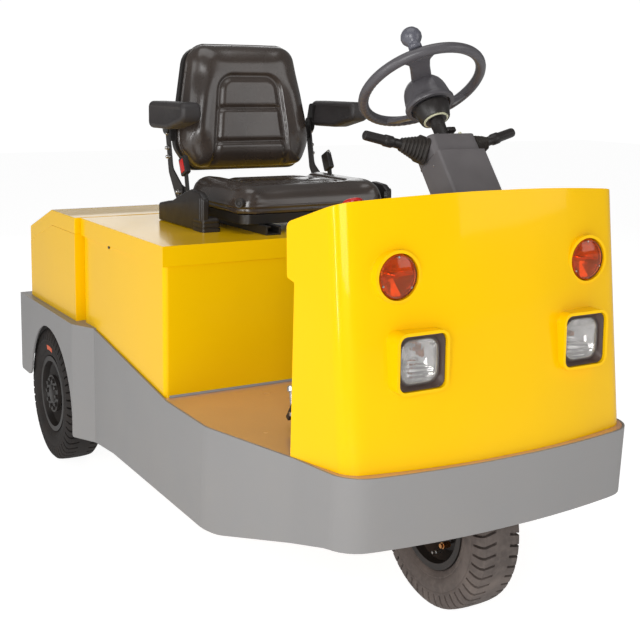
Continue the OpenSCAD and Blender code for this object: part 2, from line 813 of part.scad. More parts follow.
module steering_fork() {
    color(dark) {
        for (s = [-1, 1]) fork_leg(s);
        translate([0, front_y, crown_z]) cylinder(h = crown_t, r = 100, $fn = 64);
        translate([0, front_y, crown_z]) cylinder(h = head_z + head_tube - crown_z + 20, r = stem_r, $fn = 64);
        // steering arm wheel on the stem
        translate([0, front_y, head_z + head_tube + 6]) cylinder(h = 14, r = 70, $fn = 64);
        bar_x(-leg_x - leg_t / 2, leg_x + leg_t / 2, front_y, axle_z, axle_r, 48);
    }
}

// Tyre section: rounded tread and bulging sides, [x from the middle, radius, corner radius]
bead_r = flange_r - 9;

module tyre() {
    h = tyre_w / 2;
    r = tyre_od / 2;
    rotate([0, 90, 0]) rotate_extrude($fn = 96) polygon(rounded([
        [bead_r + seat_gap, -h + 17, 0], [flange_r + seat_gap, -h + 15, 0], [flange_r + 5, -h + 9, 5],
        [flange_r + 40, -h, 25], [r - 12, -h + 3, 10], [r, -h + 20, 14], [r, h - 20, 14], [r - 12, h - 3, 10],
        [flange_r + 40, h, 25], [flange_r + 5, h - 9, 5], [flange_r + seat_gap, h - 15, 0],
        [bead_r + seat_gap, h - 17, 0]], 4));
}

// Pressed steel rim with a dished disc and a hub, bored for its axle
module rim(hub_len, bore) {
    h = tyre_w / 2 - 8;
    rotate([0, 90, 0]) difference() {
        union() {
            rotate_extrude($fn = 96) polygon([
                [bead_r, -h + 8], [flange_r, -h + 6], [flange_r, -h], [bead_r - 6, -h], [bead_r - 9, -h + 20],
                [82, -6], [82, 6], [bead_r - 9, h - 20], [bead_r - 6, h], [flange_r, h], [flange_r, h - 6],
                [bead_r, h - 8]]);
            translate([0, 0, -5]) cylinder(h = 10, r = 84, $fn = 96);
            translate([0, 0, -hub_len / 2]) cylinder(h = hub_len, r = 34, $fn = 48);
            for (i = [0:5]) rotate([0, 0, 60 * i + 30]) translate([58, 0, -14]) cylinder(h = 28, r = 9, $fn = 6);
        }
        translate([0, 0, -far / 2]) cylinder(h = far, r = bore, $fn = 48);
    }
}

module front_rim() {
    color(dark) translate([0, front_y, axle_z]) rim(2 * (leg_x - leg_t / 2 - 2), axle_r + run_gap);
}

module front_tyre() {
    color(black) translate([0, front_y, axle_z]) tyre();
}

stub_r = 20;

module rear_rim() {
    translate([rear_x, rear_y, axle_z]) {
        rim(72, stub_r + run_gap);
        // hub flange over the stub's end
        translate([36, 0, 0]) rotate([0, 90, 0]) cylinder(h = 11, r = 58, $fn = 64);
    }
}

module rear_rim_left() {
    color(dark) rear_rim();
}

module rear_rim_right() {
    color(dark) mirror([1, 0, 0]) rear_rim();
}

module rear_tyre_left() {
    color(black) translate([rear_x, rear_y, axle_z]) tyre();
}

module rear_tyre_right() {
    color(black) translate([-rear_x, rear_y, axle_z]) tyre();
}

module rear_axle() {
    flange_x = rear_x - 50;
    color(dark) {
        bar_x(-flange_x, flange_x, rear_y, axle_z, 36, 48);
        pair() {
            bar_x(flange_x - 16, flange_x, rear_y, axle_z, 62, 64);
            bar_x(flange_x - 1, rear_x + 33, rear_y, axle_z, stub_r, 48);
            // saddle that carries the frame
            block([rail_x - 110, rear_y - 45, axle_z], [rail_x - 20, rear_y + 45, axle_z + 58 - seat_gap]);
        }
        // gear case with its flanged motor lying ahead of the axle
        translate([0, rear_y, axle_z]) rotate([0, 90, 0]) cylinder(h = 120, r = 105, center = true, $fn = 64);
        bar_y(0, rear_y - 150, rear_y - 60, axle_z + 30, 80, 64);
        bar_y(0, rear_y - 420, rear_y - 150, axle_z + 30, 84, 64);
        bar_y(0, rear_y - 432, rear_y - 420, axle_z + 30, 60, 64);
    }
}

// Tow coupling
jaw_z = 330;
jaw_gap = 60;
jaw_t = 14;
jaw_half = 70;
pin_r = 14;
pin_y = tail_y - 34;

module tow_jaw() {
    y0 = tail_wall + seat_gap;
    color(dark) difference() {
        union() {
            block([-110, y0, jaw_z - 80], [110, y0 + 14, jaw_z + 100]);
            for (z = [jaw_z - jaw_gap / 2 - jaw_t, jaw_z + jaw_gap / 2])
                translate([0, 0, z]) linear_extrude(jaw_t) polygon(rounded([
                    [jaw_half + 10, y0, 0], [jaw_half, tail_y, 34], [-jaw_half, tail_y, 34], [-jaw_half - 10, y0, 0]]));
        }
        translate([0, pin_y, 0]) cylinder(h = far, r = pin_r + run_gap, $fn = 48);
    }
}

module tow_pin() {
    top = jaw_z + jaw_gap / 2 + jaw_t;
    color(steel) translate([0, pin_y, 0]) {
        translate([0, 0, jaw_z - jaw_gap / 2 - jaw_t - 16])
            cylinder(h = jaw_gap + 2 * jaw_t + 40, r = pin_r, $fn = 48);
        translate([0, 0, top + seat_gap]) cylinder(h = 8, r = 22, $fn = 48);
        // loop handle
        translate([0, 0, top + 42]) rotate([90, 0, 0]) rotate_extrude($fn = 48)
            translate([22, 0]) circle(r = 5, $fn = 16);
    }
}

module tail_lamps() {
    w = 90;
    h = 60;
    color([0.7, 0.06, 0.05]) pair() translate([hood_half - 90, hood_rear + seat_gap, fender_top + 110])
        rotate([-90, 0, 0]) linear_extrude(26) polygon(rounded([
            [w / 2, h / 2, 10], [-w / 2, h / 2, 10], [-w / 2, -h / 2, 10], [w / 2, -h / 2, 10]]));
}

// Seat

rail_len = 420;
seat_rail_x = 150;
seat_rail_h = 24;
seat_y0 = seat_y - 150;
seat_y1 = seat_y + 212;
pan_z = lid_top + seat_rail_h + 2 * seat_gap;
pan_t = 26;
cushion_z = pan_z + pan_t + seat_gap;

module seat_rails() {
    y0 = seat_y + 30 - rail_len / 2;
    y1 = y0 + rail_len;
    low = lid_top + seat_gap;
    color(black) pair() difference() {
        block([seat_rail_x - 22, y0, low], [seat_rail_x + 22, y1, low + seat_rail_h]);
        block([seat_rail_x - 16, y0 - cut, low + 4], [seat_rail_x + 16, y1 + cut, low + seat_rail_h - 4]);
        block([seat_rail_x - 8, y0 - cut, low + 10], [seat_rail_x + 8, y1 + cut, far]);
    }
}

cover_x0 = seat_half + 20;
cover_x1 = cover_x0 + 56;

module seat_side_covers() {
    low = lid_top + seat_gap;
    color(black) pair() {
        translate([0, seat_y, 0]) across(cover_x0, cover_x1) polygon(rounded([
            [-63, low, 0], [-63, low + 36, 6], [-40, low + 44, 6], [-36, low + 96, 14], [20, low + 108, 16],
            [60, low + 98, 16], [150, low + 66, 10], [185, low + 62, 8], [185, low + 52, 4], [250, low + 50, 10],
            [250, low, 0]]));
    }
}

pivot_y = seat_y + 240;
pivot_z = 872;
ear_x = seat_half + 3;

module seat_pan() {
    color(black) {
        difference() {
            translate([0, 0, pan_z]) linear_extrude(pan_t) polygon(rounded([
                [seat_half - 8, seat_y0 + 14, 30], [seat_half - 8, seat_y1, 20], [-seat_half + 8, seat_y1, 20],
                [-seat_half + 8, seat_y0 + 14, 30]]));
            block([-seat_rail_x + 30, seat_y0 + 60, 0], [seat_rail_x - 30, seat_y1 - 60, pan_z + pan_t - 4]);
        }
        // ears that carry the backrest's pivots
        pair() difference() {
            union() {
                across(ear_x, ear_x + 5) polygon(rounded([
                    [seat_y1 - 90, pan_z, 0], [seat_y1 - 10, pan_z, 0], [pivot_y + 24, pivot_z - 6, 10],
                    [pivot_y + 10, pivot_z + 24, 14], [pivot_y - 24, pivot_z + 16, 10],
                    [seat_y1 - 90, pan_z + 20, 10]]));
                block([seat_half - 12, seat_y1 - 80, pan_z], [ear_x + 5, seat_y1 - 20, pan_z + 8]);
            }
            bar_x(0, far, pivot_y, pivot_z, 6 + run_gap, 32);
        }
    }
}

module seat_cushion() {
    color(black) intersection() {
        translate([0, 0, cushion_z]) linear_extrude(200) polygon(rounded([
            [seat_half, seat_y0, 45], [seat_half - 6, seat_y1, 30], [-seat_half + 6, seat_y1, 30],
            [-seat_half, seat_y0, 45]]));
        across(-far, far) polygon(rounded([
            [seat_y0, cushion_z, 10], [seat_y0, seat_top - 22, 28], [seat_y0 + 120, seat_top - 12, 60],
            [seat_y1 - 90, seat_top - 12, 40], [seat_y1, seat_top, 20], [seat_y1, cushion_z, 10]]));
    }
}

// Backrest, drawn upright at the pivot and leaned back
back_low = 58;           // lower edge above the pivot
back_h = back_top - pivot_z - 6;
pad_front = -8;
pad_back = 62;
shell_t = 22;

module on_back() {
    translate([0, pivot_y, pivot_z]) rotate([-back_lean, 0, 0]) children();
}

// Front view of the backrest as [x, z, corner radius]
function back_rows(d) = both([
    [178 - d, back_low + d, 40], [seat_half - 1 - d, back_low + 75, 60], [seat_half - 6 - d, back_low + 140, 80],
    [176 - d, back_h - d, 60]]);

module upright(y0, y1) {
    translate([0, y1, 0]) rotate([90, 0, 0]) linear_extrude(y1 - y0) children();
}

module backrest_pad() {
    color(black) on_back() intersection() {
        upright(pad_front, pad_back) polygon(rounded(back_rows(0)));
        across(-far, far) polygon(rounded([
            [pad_front + 18, back_low - cut, 20], [pad_front, back_low + 60, 60], [pad_front + 6, back_h - 120, 80],
            [pad_back - 26, back_h + cut, 20], [pad_back, back_h + cut, 0], [pad_back, back_low - cut, 0]]));
    }
}

module backrest_shell() {
    color(black) on_back() {
        upright(pad_back + seat_gap, pad_back + shell_t) polygon(rounded(back_rows(4)));
        // side straps down to the pivots
        pair() {
            difference() {
                across(ear_x + 6, ear_x + 11) polygon(rounded([
                    [-22, -20, 14], [22, -20, 14], [70, 60, 30], [84, 215, 10], [58, 215, 10], [44, 70, 30],
                    [-22, 16, 14]]));
                bar_x(0, far, arm_y, arm_z, 7 + run_gap, 32);
            }
            bar_x(ear_x - 4, ear_x + 6.5, 0, 0, 6, 32);
            block([seat_half - 30, pad_back + 4, 150], [ear_x + 6.5, pad_back + shell_t - 3, 190]);
        }
    }
}

arm_y = 70;              // armrest pivot in the backrest's frame
arm_z = 196;

module armrest() {
    pad_w = 60;
    pad_y0 = seat_y + 70;
    pad_y1 = seat_y + 325;
    low = 1054;
    high = 1132;
    color(black) {
        translate([arm_x - pad_w / 2, 0, 0]) across(0, pad_w) polygon(rounded([
            [pad_y0, low + 28, 16], [pad_y0, high, 14], [pad_y1, high, 10], [pad_y1, low, 10],
            [pad_y0 + 110, low + 2, 60]]));
        on_back() {
            across(ear_x + 12.5, ear_x + 17) polygon(rounded([
                [arm_y - 22, arm_z - 22, 18], [arm_y + 18, arm_z - 22, 18], [arm_y + 18, arm_z + 60, 8],
                [arm_y - 40, arm_z + 60, 8]]));
            bar_x(ear_x + 7, ear_x + 14, arm_y, arm_z, 7, 32);
        }
    }
}

module armrest_left() {
    armrest();
}

module armrest_right() {
    mirror([1, 0, 0]) armrest();
}

module belt_buckles() {
    color([0.12, 0.11, 0.11]) pair() translate([ear_x + 5 + seat_gap, seat_y1 - 40, pan_z + 8 + seat_gap]) {
        rotate([-12, 0, 0]) {
            block([0, -10, 0], [5, 10, 106]);
            block([-6, -20, 104], [11, 20, 160]);
        }
    }
}

chassis_frame();
skirt();
fenders();
deck();
rear_plate();
battery_box();
battery();
rear_hood();
hood_cover();
cowl();
cowl_back();
dash_panel();
steering_head();
head_cover();
console();
steering_column();
lever_boots();
control_levers();
stop_button();
headlamps();
headlamp_lenses();
turn_lamps();
accelerator_pedal();
brake_pedal();
rear_axle();
tow_jaw();
tow_pin();
tail_lamps();
battery_lid();
seat_rails();
seat_side_covers();
seat_pan();
seat_cushion();
belt_buckles();
backrest_shell();
backrest_pad();
armrest_right();
armrest_left();
steering_fork();
front_rim();
front_tyre();
steering_wheel();
spinner_knob();
rear_rim_right();
rear_tyre_right();
rear_rim_left();
rear_tyre_left();
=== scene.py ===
import json
import math

import bmesh
import bpy
from mathutils import Matrix, Vector

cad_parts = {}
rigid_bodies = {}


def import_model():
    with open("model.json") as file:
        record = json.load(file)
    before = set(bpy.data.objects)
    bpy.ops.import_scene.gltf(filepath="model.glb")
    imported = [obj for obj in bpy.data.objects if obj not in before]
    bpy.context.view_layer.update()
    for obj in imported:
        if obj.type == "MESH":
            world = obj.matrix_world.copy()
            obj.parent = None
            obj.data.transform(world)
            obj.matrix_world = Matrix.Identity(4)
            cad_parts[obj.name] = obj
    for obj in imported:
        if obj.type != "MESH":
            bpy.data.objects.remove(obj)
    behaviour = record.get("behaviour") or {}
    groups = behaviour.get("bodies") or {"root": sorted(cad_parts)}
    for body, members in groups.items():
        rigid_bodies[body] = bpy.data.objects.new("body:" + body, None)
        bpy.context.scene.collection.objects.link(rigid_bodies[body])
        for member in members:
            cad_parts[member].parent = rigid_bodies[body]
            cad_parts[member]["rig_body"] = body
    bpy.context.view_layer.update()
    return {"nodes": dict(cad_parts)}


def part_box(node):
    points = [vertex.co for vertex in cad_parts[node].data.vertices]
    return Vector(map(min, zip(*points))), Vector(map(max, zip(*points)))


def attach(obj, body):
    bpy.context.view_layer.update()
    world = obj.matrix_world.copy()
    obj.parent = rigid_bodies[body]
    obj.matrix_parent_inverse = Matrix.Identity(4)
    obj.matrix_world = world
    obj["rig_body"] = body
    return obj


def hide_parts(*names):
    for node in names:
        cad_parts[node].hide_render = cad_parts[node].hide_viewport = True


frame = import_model()
nodes = frame["nodes"]
scene = bpy.context.scene
scene.view_settings.view_transform = "Standard"
print("tractor: frame loaded")

# Camera, at the photograph's place
cameraSpot = {"place": (-1.504145, -2.774069, 1.199664), "yaw": 30.381, "pitch": 7.461, "roll": 0.637,
              "lens": 63.5, "shiftX": -0.0136, "shiftY": -0.1457}


def aimCamera(spot):
    yaw, pitch, roll = (math.radians(spot[key]) for key in ("yaw", "pitch", "roll"))
    ahead = Vector((math.sin(yaw) * math.cos(pitch), math.cos(yaw) * math.cos(pitch), -math.sin(pitch)))
    side = Vector((math.cos(yaw), -math.sin(yaw), 0))
    over = side.cross(ahead)
    right = side * math.cos(roll) + over * math.sin(roll)
    up = over * math.cos(roll) - side * math.sin(roll)
    data = bpy.data.cameras.new("camera")
    data.lens, data.sensor_width = spot["lens"], 36
    data.shift_x, data.shift_y = spot["shiftX"], spot["shiftY"]
    cam = bpy.data.objects.new("camera", data)
    scene.collection.objects.link(cam)
    turn = Matrix((right, up, -ahead)).transposed().to_4x4()
    cam.matrix_world = Matrix.Translation(spot["place"]) @ turn
    scene.camera = cam


aimCamera(cameraSpot)

# Lights: place, aim, size and power of each soft box
softBoxes = {
    "overhead": {"place": (-0.4, -0.6, 4.2), "aim": (0, 0, 0.6), "size": 3.0, "power": 40},
    "leftWall": {"place": (-4.4, -0.4, 1.9), "aim": (0, 0, 0.6), "size": 2.2, "power": 27},
    "edgeStrip": {"place": (-3.4, -1.5, 1.2), "aim": (-0.45, -0.9, 0.8), "size": 0.14, "tall": 1.8,
                  "power": 17},
    "key": {"place": (-2.9, -4.0, 1.8), "aim": (0, -0.4, 0.6), "size": 2.2, "power": 100},
    "rightFill": {"place": (3.0, -4.0, 2.2), "aim": (0, 0, 0.6), "size": 2.4, "power": 27},
    "rearPanel": {"place": (1.6, 4.6, 2.4), "aim": (0, 0, 0.7), "size": 2.8, "power": 26},
}


# White backdrop: its strength as the camera sees it, and as a light and a reflection
backdrop = {"seen": 1.02, "light": 0.18}


def hangSoftBoxes(boxes):
    for name, box in boxes.items():
        lamp = bpy.data.lights.new(name, "AREA")
        lamp.energy, lamp.shape = box["power"], "RECTANGLE"
        lamp.size, lamp.size_y = box["size"], box.get("tall", box["size"])
        holder = bpy.data.objects.new(name, lamp)
        scene.collection.objects.link(holder)
        holder.location = box["place"]
        aim = Vector(box["aim"]) - Vector(box["place"])
        holder.rotation_euler = aim.to_track_quat("-Z", "Y").to_euler()
        holder.visible_camera = False


def paintBackdrop(form):
    world = bpy.data.worlds.new("studio")
    world.use_nodes = True
    tree = world.node_tree
    ray = tree.nodes.new("ShaderNodeLightPath").outputs
    mixed = tree.nodes.new("ShaderNodeMath")
    mixed.operation = "MULTIPLY_ADD"
    tree.links.new(ray["Is Camera Ray"], mixed.inputs[0])
    mixed.inputs[1].default_value, mixed.inputs[2].default_value = form["seen"] - form["light"], form["light"]
    tree.links.new(mixed.outputs[0], tree.nodes["Background"].inputs["Strength"])
    tree.nodes["Background"].inputs["Color"].default_value = (1, 1, 1, 1)
    scene.world = world


hangSoftBoxes(softBoxes)
paintBackdrop(backdrop)


# Finishes

def addNode(tree, kind, inputs=(), **settings):
    made = tree.nodes.new(kind)
    for key, value in settings.items():
        setattr(made, key, value)
    for key, value in dict(inputs).items():
        if isinstance(value, bpy.types.NodeSocket):
            tree.links.new(value, made.inputs[key])
        else:
            made.inputs[key].default_value = value
    return made


def noiseOf(tree, coord, scale, detail=2.0, rough=0.5):
    return addNode(tree, "ShaderNodeTexNoise",
                   {"Vector": coord, "Scale": scale, "Detail": detail, "Roughness": rough}).outputs["Fac"]


def spanOf(tree, value, low, high, toLow, toHigh):
    return addNode(tree, "ShaderNodeMapRange", {"Value": value, "From Min": low, "From Max": high,
                                                "To Min": toLow, "To Max": toHigh}).outputs["Result"]


def cloudOf(tree, coord, scale, detail, low=0, high=1):
    # soft cloud of noise between two values
    return spanOf(tree, noiseOf(tree, coord, scale, detail), 0.3, 0.7, low, high)


def maths(tree, operation, *values):
    return addNode(tree, "ShaderNodeMath", dict(enumerate(values)), operation=operation).outputs[0]


def blendColours(tree, share, a, b):
    made = addNode(tree, "ShaderNodeMix", {0: share}, data_type="RGBA")
    for index, colour in ((6, a), (7, b)):
        if isinstance(colour, bpy.types.NodeSocket):
            tree.links.new(colour, made.inputs[index])
        else:
            made.inputs[index].default_value = (*colour, 1)
    return made.outputs[2]


def shades(colour, factor):
    return tuple(min(1.0, c * factor) for c in colour)


def newFinish(name, roughness, metallic=0.0, **sockets):
    finish = bpy.data.materials.new(name)
    finish.use_nodes = True
    tree = finish.node_tree
    shader = tree.nodes["Principled BSDF"]
    shader.inputs["Roughness"].default_value = roughness
    shader.inputs["Metallic"].default_value = metallic
    for key, value in sockets.items():
        shader.inputs[key.replace("_", " ")].default_value = value
    coord = addNode(tree, "ShaderNodeTexCoord").outputs["Object"]
    return finish, tree, shader, coord


def wireUp(tree, shader, colour, gloss, relief, strength, distance):
    # colour, roughness and a bump into the shader
    tree.links.new(colour, shader.inputs["Base Color"])
    tree.links.new(gloss, shader.inputs["Roughness"])
    bump = addNode(tree, "ShaderNodeBump", {"Height": relief, "Strength": strength, "Distance": distance})
    tree.links.new(bump.outputs["Normal"], shader.inputs["Normal"])


def sprayPaint(name, colour, roughness, peel=0.05, spread=0.03, dust=0.15, dustColour=(0.30, 0.27, 0.24),
               **sockets):
    # sprayed paint with faint orange peel, uneven gloss and road dust towards the ground
    finish, tree, shader, coord = newFinish(name, roughness, **sockets)
    cloud = spanOf(tree, noiseOf(tree, coord, 2.3, 3), 0.35, 0.65, 0, 1)
    clean = blendColours(tree, cloud, shades(colour, 1 - spread), colour)
    height = addNode(tree, "ShaderNodeSeparateXYZ", {0: coord}).outputs["Z"]
    low = spanOf(tree, height, 0.50, 0.14, 0, 1)
    patches = spanOf(tree, noiseOf(tree, coord, 9, 5, 0.6), 0.35, 0.75, 0, 1)
    dirt = maths(tree, "MULTIPLY", maths(tree, "MULTIPLY", low, patches), dust)
    dusted = blendColours(tree, dirt, clean, dustColour)
    gloss = cloudOf(tree, coord, 6, 3, roughness - 0.03, roughness + 0.04)
    wireUp(tree, shader, dusted, gloss, noiseOf(tree, coord, 190, 1.5), peel, 0.0012)
    return finish


def mouldedPlastic(name, colour, roughness, grain=900, relief=0.12, spread=0.1):
    # moulded plastic with a spark-eroded grain
    finish, tree, shader, coord = newFinish(name, roughness)
    mottled = blendColours(tree, cloudOf(tree, coord, 14, 3), shades(colour, 1 - spread),
                           shades(colour, 1 + spread))
    gloss = cloudOf(tree, coord, 30, 2, roughness - 0.05, roughness + 0.05)
    wireUp(tree, shader, mottled, gloss, noiseOf(tree, coord, grain, 2), relief, 0.0005)
    return finish


def grainedVinyl(name, colour, roughness):
    # seat vinyl: pebbled grain, slightly greasy sheen where it is rubbed
    finish, tree, shader, coord = newFinish(name, roughness, Coat_Weight=0.8, Coat_Roughness=0.17)
    pebbles = addNode(tree, "ShaderNodeTexVoronoi", {"Vector": coord, "Scale": 420.0}, feature="F1")
    grain = maths(tree, "ADD", pebbles.outputs["Distance"], noiseOf(tree, coord, 1100, 2))
    mottled = blendColours(tree, cloudOf(tree, coord, 8, 4), shades(colour, 0.8), shades(colour, 1.25))
    gloss = cloudOf(tree, coord, 11, 3, roughness - 0.06, roughness + 0.07)
    wireUp(tree, shader, mottled, gloss, grain, 0.16, 0.0008)
    return finish


def wornRubber(name, colour, dustColour, roughness=0.72, dust=0.55):
    # tyre and bellows rubber with dried mud in its low places
    finish, tree, shader, coord = newFinish(name, roughness, Specular_IOR_Level=0.35)
    patches = spanOf(tree, noiseOf(tree, coord, 11, 6, 0.62), 0.42, 0.72, 0, 1)
    streaks = spanOf(tree, noiseOf(tree, coord, 70, 4), 0.4, 0.75, 0, 0.6)
    mud = maths(tree, "MULTIPLY", maths(tree, "MAXIMUM", patches, streaks), dust)
    muddy = blendColours(tree, mud, colour, dustColour)
    gloss = spanOf(tree, patches, 0, 1, roughness - 0.08, roughness + 0.14)
    wireUp(tree, shader, muddy, gloss, noiseOf(tree, coord, 480, 4), 0.22, 0.0009)
    return finish


def platedSteel(name, colour, roughness):
    # plated or bare steel with fine rolling marks
    finish, tree, shader, coord = newFinish(name, roughness, 1.0)
    marks = noiseOf(tree, coord, 260, 4)
    mottled = blendColours(tree, cloudOf(tree, coord, 35, 4), shades(colour, 0.82), colour)
    gloss = spanOf(tree, marks, 0.3, 0.7, roughness - 0.06, roughness + 0.10)
    wireUp(tree, shader, mottled, gloss, marks, 0.05, 0.0004)
    return finish


def clearMoulding(name, colour, roughness, transmission, ripple, rippleScale, flutes=0):
    # clear or tinted lens moulding with optics on its inner face
    finish, tree, shader, coord = newFinish(name, roughness, Transmission_Weight=transmission, IOR=1.46,
                                            Coat_Weight=0.15, Coat_Roughness=0.03)
    tint = blendColours(tree, cloudOf(tree, coord, 25, 3), shades(colour, 0.9), colour)
    gloss = cloudOf(tree, coord, 60, 2, roughness, roughness + 0.03)
    height = noiseOf(tree, coord, rippleScale, 1)
    if flutes:
        ribs = addNode(tree, "ShaderNodeTexWave", {"Vector": coord, "Scale": flutes}, bands_direction="X")
        height = maths(tree, "ADD", height, ribs.outputs["Fac"])
    wireUp(tree, shader, tint, gloss, height, ripple, 0.001)
    return finish


paint = {
    "yellow": sprayPaint("cowlYellow", (0.98, 0.57, 0.001), 0.22, dust=0.04, Specular_IOR_Level=0.3,
                         Specular_Tint=(1.0, 0.75, 0.15, 1.0), Coat_Weight=0.25, Coat_Roughness=0.05),
    "grey": sprayPaint("skirtGrey", (0.266, 0.260, 0.258), 0.42, peel=0.10, dust=0.30),
    "deck": sprayPaint("deckGrey", (0.69, 0.375, 0.19), 0.24, peel=0.12, spread=0.12, dust=0.0,
                       Coat_Weight=0.4),
    "frame": sprayPaint("frameBlack", (0.022, 0.021, 0.020), 0.45, peel=0.1, dust=0.5),
    "panel": sprayPaint("innerGrey", (0.10, 0.10, 0.10), 0.5, dust=0.1),
    "seatSteel": sprayPaint("seatSteelBlack", (0.018, 0.016, 0.015), 0.33, peel=0.08, spread=0.2, dust=0.0),
    "rim": sprayPaint("rimBlack", (0.017, 0.015, 0.014), 0.38, peel=0.12, spread=0.25, dust=0.35,
                      dustColour=(0.07, 0.052, 0.042)),
    "markRed": sprayPaint("tyreMarkOrange", (0.65, 0.10, 0.03), 0.6, dust=0.35),
}
plastic = {
    "console": mouldedPlastic("consoleGrey", (0.124, 0.114, 0.116), 0.42, relief=0.07),
    "wheel": mouldedPlastic("steeringGrey", (0.088, 0.083, 0.090), 0.33, relief=0.03),
    "black": mouldedPlastic("coverBlack", (0.020, 0.017, 0.016), 0.38, grain=600, relief=0.18),
    "armSide": mouldedPlastic("armrestFoam", (0.034, 0.030, 0.030), 0.52, grain=500, relief=0.3),
    "lampFrame": mouldedPlastic("lampFrameBrown", (0.075, 0.048, 0.040), 0.42),
    "red": mouldedPlastic("buttonRed", (0.62, 0.015, 0.012), 0.25, relief=0.02),
    "cream": mouldedPlastic("ringCream", (0.70, 0.69, 0.48), 0.4),
    "battery": mouldedPlastic("cellBlack", (0.03, 0.03, 0.034), 0.55),
    "label": mouldedPlastic("plateSilver", (0.50, 0.49, 0.50), 0.3, relief=0.03),
    "knob": mouldedPlastic("knobGrey", (0.105, 0.105, 0.125), 0.26, grain=60, relief=0.005, spread=0.03),
    "collar": mouldedPlastic("collarGrey", (0.42, 0.42, 0.38), 0.4),
    "webbing": mouldedPlastic("beltWebbing", (0.022, 0.021, 0.021), 0.6, grain=350, relief=0.35),
}
vinyl = grainedVinyl("seatVinyl", (0.044, 0.0325, 0.0265), 0.27)
rubber = {
    "tyre": wornRubber("tyreRubber", (0.015, 0.0125, 0.0115), (0.085, 0.063, 0.051), dust=0.24),
    # front tyre's rubber: dustier, and its colour also painted lighter to stand in for the front light that
    # the skirt keeps off it
    "dustAndPaintedLight": wornRubber("tyreRubberDustAndPaintedLight", (0.080, 0.064, 0.057), (0.20, 0.163, 0.143), dust=0.6),
    "boot": wornRubber("bellowsRubber", (0.020, 0.016, 0.013), (0.07, 0.05, 0.04), 0.55, 0.35),
}
metal = {
    "zinc": platedSteel("zincSteel", (0.62, 0.61, 0.60), 0.28),
    "copper": platedSteel("copperStud", (0.85, 0.42, 0.16), 0.25),
    "brass": platedSteel("lampBrass", (0.95, 0.62, 0.30), 0.14),
    "mirror": platedSteel("reflectorSilver", (0.92, 0.91, 0.90), 0.12),
}
lens = {
    "clear": clearMoulding("lensClear", (0.97, 0.96, 0.95), 0.01, 0.88, 0.10, 40, 46),
    "amber": clearMoulding("lensRedAmber", (1.0, 0.26, 0.03), 0.03, 0.92, 0.10, 90),
    "tail": clearMoulding("lensTailRed", (0.65, 0.01, 0.008), 0.08, 0.4, 0.3, 110),
    "bulb": clearMoulding("bulbAmber", (0.55, 0.20, 0.06), 0.05, 0.2, 0.05, 300),
}
print("tractor: finishes made")


# Shared modelling steps

def turned(section, steps=64, closed=False):
    # section of (radius, height) points, turned round its own z axis
    bm = bmesh.new()
    line = [bm.verts.new((radius, 0, height)) for radius, height in section]
    edges = [bm.edges.new(pair) for pair in zip(line, line[1:] + (line[:1] if closed else []))]
    bmesh.ops.spin(bm, geom=line + edges, axis=(0, 0, 1), cent=(0, 0, 0), angle=math.tau, steps=steps,
                   use_merge=True)
    bmesh.ops.remove_doubles(bm, verts=bm.verts, dist=1e-6)
    bmesh.ops.recalc_face_normals(bm, faces=bm.faces)
    return bm


def pushed(outline, low, high):
    # flat outline pushed along its own z axis
    bm = bmesh.new()
    face = bm.faces.new([bm.verts.new((x, y, low)) for x, y in outline])
    risen = bmesh.ops.extrude_face_region(bm, geom=[face])["geom"]
    far = [v for v in risen if isinstance(v, bmesh.types.BMVert)]
    bmesh.ops.translate(bm, vec=(0, 0, high - low), verts=far)
    bmesh.ops.recalc_face_normals(bm, faces=bm.faces)
    return bm


def lofted(rings, closed=False):
    # skin through rings of equally many points, capped at its ends or closed on itself
    bm = bmesh.new()
    loops = [[bm.verts.new(point) for point in ring] for ring in rings]
    count = len(loops[0])
    for low, high in zip(loops, loops[1:] + (loops[:1] if closed else [])):
        for i in range(count):
            bm.faces.new((low[i], low[(i + 1) % count], high[(i + 1) % count], high[i]))
    if not closed:
        bm.faces.new(loops[0])
        bm.faces.new(loops[-1])
    bmesh.ops.recalc_face_normals(bm, faces=bm.faces)
    return bm


def moved(bm, *steps):
    # turns and shifts a shape, the last matrix first
    whole = Matrix()
    for step in steps:
        whole = whole @ step
    bmesh.ops.transform(bm, matrix=whole, verts=bm.verts)
    return bm


def shift(x, y, z):
    return Matrix.Translation((x, y, z))


def turn(degrees, axis):
    return Matrix.Rotation(math.radians(degrees), 4, axis)


def gathered(*parts):
    # several shapes as one
    whole = bmesh.new()
    for part in parts:
        mesh = bpy.data.meshes.new("part")
        part.to_mesh(mesh)
        part.free()
        whole.from_mesh(mesh)
        bpy.data.meshes.remove(mesh)
    return whole


def bothSides(bm):
    # adds the shape's mirror image in the tractor's middle plane
    copy = bmesh.ops.duplicate(bm, geom=bm.verts[:] + bm.edges[:] + bm.faces[:])["geom"]
    bmesh.ops.scale(bm, vec=(-1, 1, 1), verts=[v for v in copy if isinstance(v, bmesh.types.BMVert)])
    bmesh.ops.reverse_faces(bm, faces=[f for f in copy if isinstance(f, bmesh.types.BMFace)])
    return bm


def flatLoop(outline, inner, high):
    # flat closed band between an outline and the same one drawn in
    rows = ((1, 0), (inner, 0), (inner, high), (1, high))
    return lofted([[(x * size, y * size, z) for x, y in outline] for size, z in rows], closed=True)


def mirrored(bm):
    # the shape itself, moved to the tractor's other side
    bmesh.ops.scale(bm, vec=(-1, 1, 1), verts=bm.verts)
    bmesh.ops.reverse_faces(bm, faces=bm.faces)
    return bm


